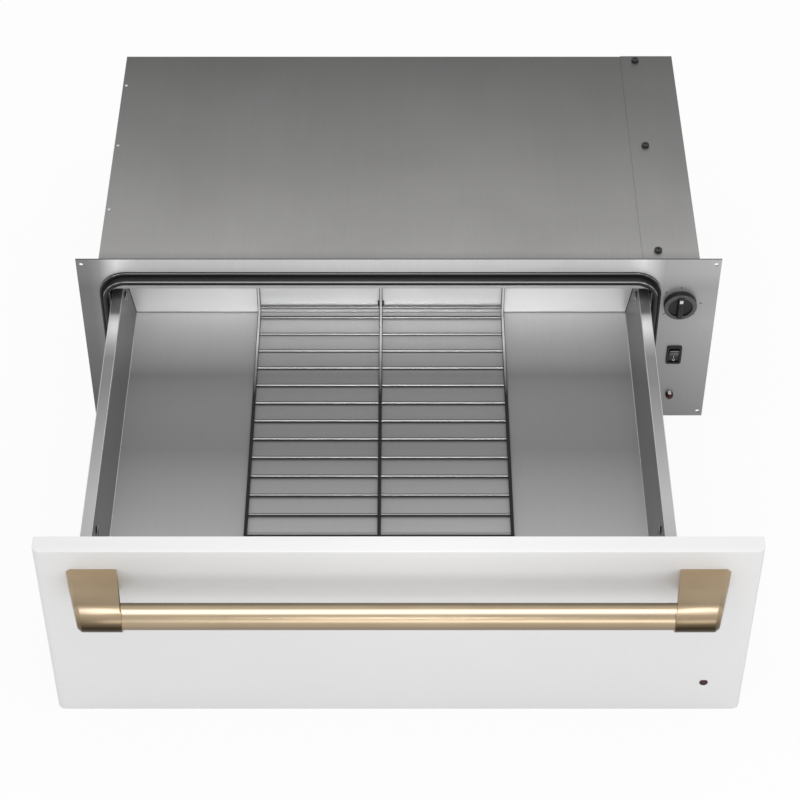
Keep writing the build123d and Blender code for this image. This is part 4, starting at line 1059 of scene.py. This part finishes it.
# %% Knob
KNOB_RADIUS_MM = 19.5
SKIRT_MM = 7.4
RIM_STEP_MM = 1.6
RIM_CROWN_MM = 0.5
DISH_RADIUS_MM = 14.3
DISH_DEPTH_MM = 2.2
SHEEN_FROM_MM = 14.6  # outside this radius the face has a painted sheen
BAR_WIDTH_MM = 8.0
BAR_LENGTH_MM = 33.0
BAR_FOOT_MM = 2.4
BAR_TAPER = (0.72, 1, 0.93)

low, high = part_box("control_knob")
knob_x, knob_z = (low.x + high.x) / 2, (low.z + high.z) / 2
knob_back = high.y
skirt_front = knob_back - SKIRT_MM * MM
skirt = start_disc("knob_skirt", (knob_x, (knob_back + skirt_front) / 2, knob_z),
                   KNOB_RADIUS_MM * MM, SKIRT_MM * MM, corners=96, turn=LYING_ALONG_Y)
edit()
pick("faces", lambda face: face.normal.y < -FACING)
bpy.ops.mesh.inset(thickness=RIM_STEP_MM * MM)
bpy.ops.transform.translate(value=(0, -RIM_CROWN_MM * MM, 0))
bpy.ops.mesh.inset(thickness=(KNOB_RADIUS_MM - RIM_STEP_MM - DISH_RADIUS_MM) * MM)
bpy.ops.mesh.extrude_region_move(TRANSFORM_OT_translate={"value": (0, DISH_DEPTH_MM * MM, 0)})
leave_edit()
soften(skirt, width_mm=0.5, angle=30)

bar_half, bar_reach = BAR_WIDTH_MM / 2 * MM, BAR_LENGTH_MM / 2 * MM
bar = start_block("knob_bar", (knob_x - bar_half, low.y, knob_z - bar_reach),
                  (knob_x + bar_half, skirt_front + BAR_FOOT_MM * MM, knob_z + bar_reach))
edit()
pick("faces", lambda face: face.normal.y < -FACING)
bpy.ops.transform.resize(value=BAR_TAPER, center_override=(knob_x, 0, knob_z))
leave_edit()
soften(bar, width_mm=1.2, steps=4, angle=30)
knob = join("thermostat_knob", skirt, bar)
smooth(knob, 35)
knob.data.materials.append(FINISHES["black_plastic"])


def on_sheen_rim(face):
    from_axis = face.calc_center_median().xz - Vector((knob_x, knob_z))
    return face.normal.y < -0.8 and from_axis.length > SHEEN_FROM_MM * MM


second_finish(knob, painted_sheen_black, on_sheen_rim)
settle(knob, "knob", "black_plastic", "control_knob")

# %% Knob mark
MARK_WIDTH_MM = 4.0
MARK_FROM_MM, MARK_TO_MM = 9.5, 14.2
INK_MM = 0.03  # how far a printed mark stands out

mark = start_block("knob_mark",
                   (knob_x - MARK_WIDTH_MM / 2 * MM, low.y - INK_MM * MM,
                    knob_z + MARK_FROM_MM * MM),
                   (knob_x + MARK_WIDTH_MM / 2 * MM, low.y + 0.3 * MM, knob_z + MARK_TO_MM * MM))
soften(mark, width_mm=0.02, steps=1)
mark.data.materials.append(white_ink)
settle(mark, "knob", "black_plastic")

# %% [markdown]
# ## The rocker
#
# The paddle is one moulding with a face that is bent at its middle: the upper half stands out, the
# lower half is pressed in. A block is cut across at that middle, and its front edges are moved to
# their places. Three ribs on the upper half give the finger a hold; their grey is a painted
# highlight. The lower half carries two plain marks. Ribs could be extruded from the face; rods laid
# on it are rounder.

# %% Rocker paddle
PADDLE_HALF_MM = 6.15
FACE_INSET_MM = 0.4
KNEE_BACK_MM, FOOT_BACK_MM = 2.8, 3.2  # how far the face lies behind the paddle's upper edge

low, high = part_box("rocker_paddle")
housing_low, housing_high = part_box("rocker_housing")
rocker_x, rocker_z = (low.x + high.x) / 2, (housing_low.z + housing_high.z) / 2
face_y = low.y + FACE_INSET_MM * MM

paddle = start_block("rocker_paddle_moulded", (rocker_x - PADDLE_HALF_MM * MM, face_y, low.z),
                     (rocker_x + PADDLE_HALF_MM * MM, high.y, high.z))
edit()
pick_all()
bpy.ops.mesh.bisect(plane_co=(0, 0, rocker_z), plane_no=(0, 0, 1))
for edge_z, back_mm in ((rocker_z, KNEE_BACK_MM), (low.z, FOOT_BACK_MM)):
    pick("verts", lambda vert: near(vert.co.y, face_y) and near(vert.co.z, edge_z))
    bpy.ops.transform.translate(value=(0, back_mm * MM, 0))
leave_edit()
soften(paddle, width_mm=0.35, steps=2, angle=30)
paddle.data.materials.append(FINISHES["black_plastic"])
smooth(paddle, 35)
settle(paddle, "rocker", "black_plastic", "rocker_paddle")

# %% Rocker ribs
RIB_HEIGHTS_MM = (8.8, 4.9, 1.0)
RIB_RADIUS_MM = 0.5
RIB_END_MM = 0.8  # bare face beyond each end of a rib

ribs = []
for height in RIB_HEIGHTS_MM:
    rib_y = face_y + KNEE_BACK_MM * MM * (1 - height * MM / (high.z - rocker_z))
    rib = start_disc("rocker_rib", (rocker_x, rib_y, rocker_z + height * MM), RIB_RADIUS_MM * MM,
                     2 * (PADDLE_HALF_MM - RIB_END_MM) * MM, corners=20, turn=LYING_ALONG_X)
    soften(rib, width_mm=0.2, steps=2)
    ribs.append(rib)
ribs = join("rocker_ribs", *ribs)
smooth(ribs, 60)
ribs.data.materials.append(painted_highlight_grey)
settle(ribs, "rocker", "black_plastic")

# %% Rocker marks
LINE_WIDTH_MM = 0.7
LINE_FROM_MM, LINE_TO_MM = 4.6, 1.6  # below the paddle's middle
RING_RADIUS_MM, RING_WIRE_MM = 1.3, 0.3
RING_DROP_MM = 8.0

foot_y = face_y + KNEE_BACK_MM * MM
line = start_block("rocker_line",
                   (rocker_x - LINE_WIDTH_MM / 2 * MM, foot_y - INK_MM * MM,
                    rocker_z - LINE_FROM_MM * MM),
                   (rocker_x + LINE_WIDTH_MM / 2 * MM, foot_y + 0.4 * MM,
                    rocker_z - LINE_TO_MM * MM))
ring = start_ring((rocker_x, foot_y + 0.3 * MM, rocker_z - RING_DROP_MM * MM),
                  RING_RADIUS_MM * MM, RING_WIRE_MM * MM, corners=32, turn=LYING_ALONG_Y)
marks = join("rocker_marks", line, ring)
smooth(marks, 40)
marks.data.materials.append(white_ink)
settle(marks, "rocker", "black_plastic")

# %% [markdown]
# ## Ticks round the knob
#
# The dial has plain ticks, an eighth of a turn apart, printed on the frame. They could be painted by
# the frame's material, which would need the knob's place in its nodes. Here each is a thin film of
# ink, modelled as a block over the knob and turned about the knob's axis to its place.

# %% Dial ticks
TICK_ANGLES = (0, 45, 90, 135, 180, 225, 270)
TICK_RADIUS_MM = 24.5
TICK_WIDTH_MM, TICK_LENGTH_MM = 1.0, 3.2
FILM_OUT_MM, FILM_IN_MM = 0.06, 0.02  # how far the ink stands out of the frame and reaches in

frame_low, frame_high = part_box("face_frame")
ink_front = frame_low.y - FILM_OUT_MM * MM
tick_half = TICK_WIDTH_MM / 2 * MM
tick_from, tick_to = ((TICK_RADIUS_MM + way * TICK_LENGTH_MM / 2) * MM for way in (-1, 1))
ticks = []
for angle in TICK_ANGLES:
    tick = start_block("dial_tick", (knob_x - tick_half, ink_front, knob_z + tick_from),
                       (knob_x + tick_half, frame_low.y + FILM_IN_MM * MM, knob_z + tick_to))
    edit()
    pick_all()
    bpy.ops.transform.rotate(value=math.radians(angle), orient_axis="Y",
                             center_override=(knob_x, ink_front, knob_z))
    leave_edit()
    ticks.append(tick)
ticks = join("dial_ticks", *ticks)
ticks.data.materials.append(legend_ink)
settle(ticks, "housing", "black_plastic")
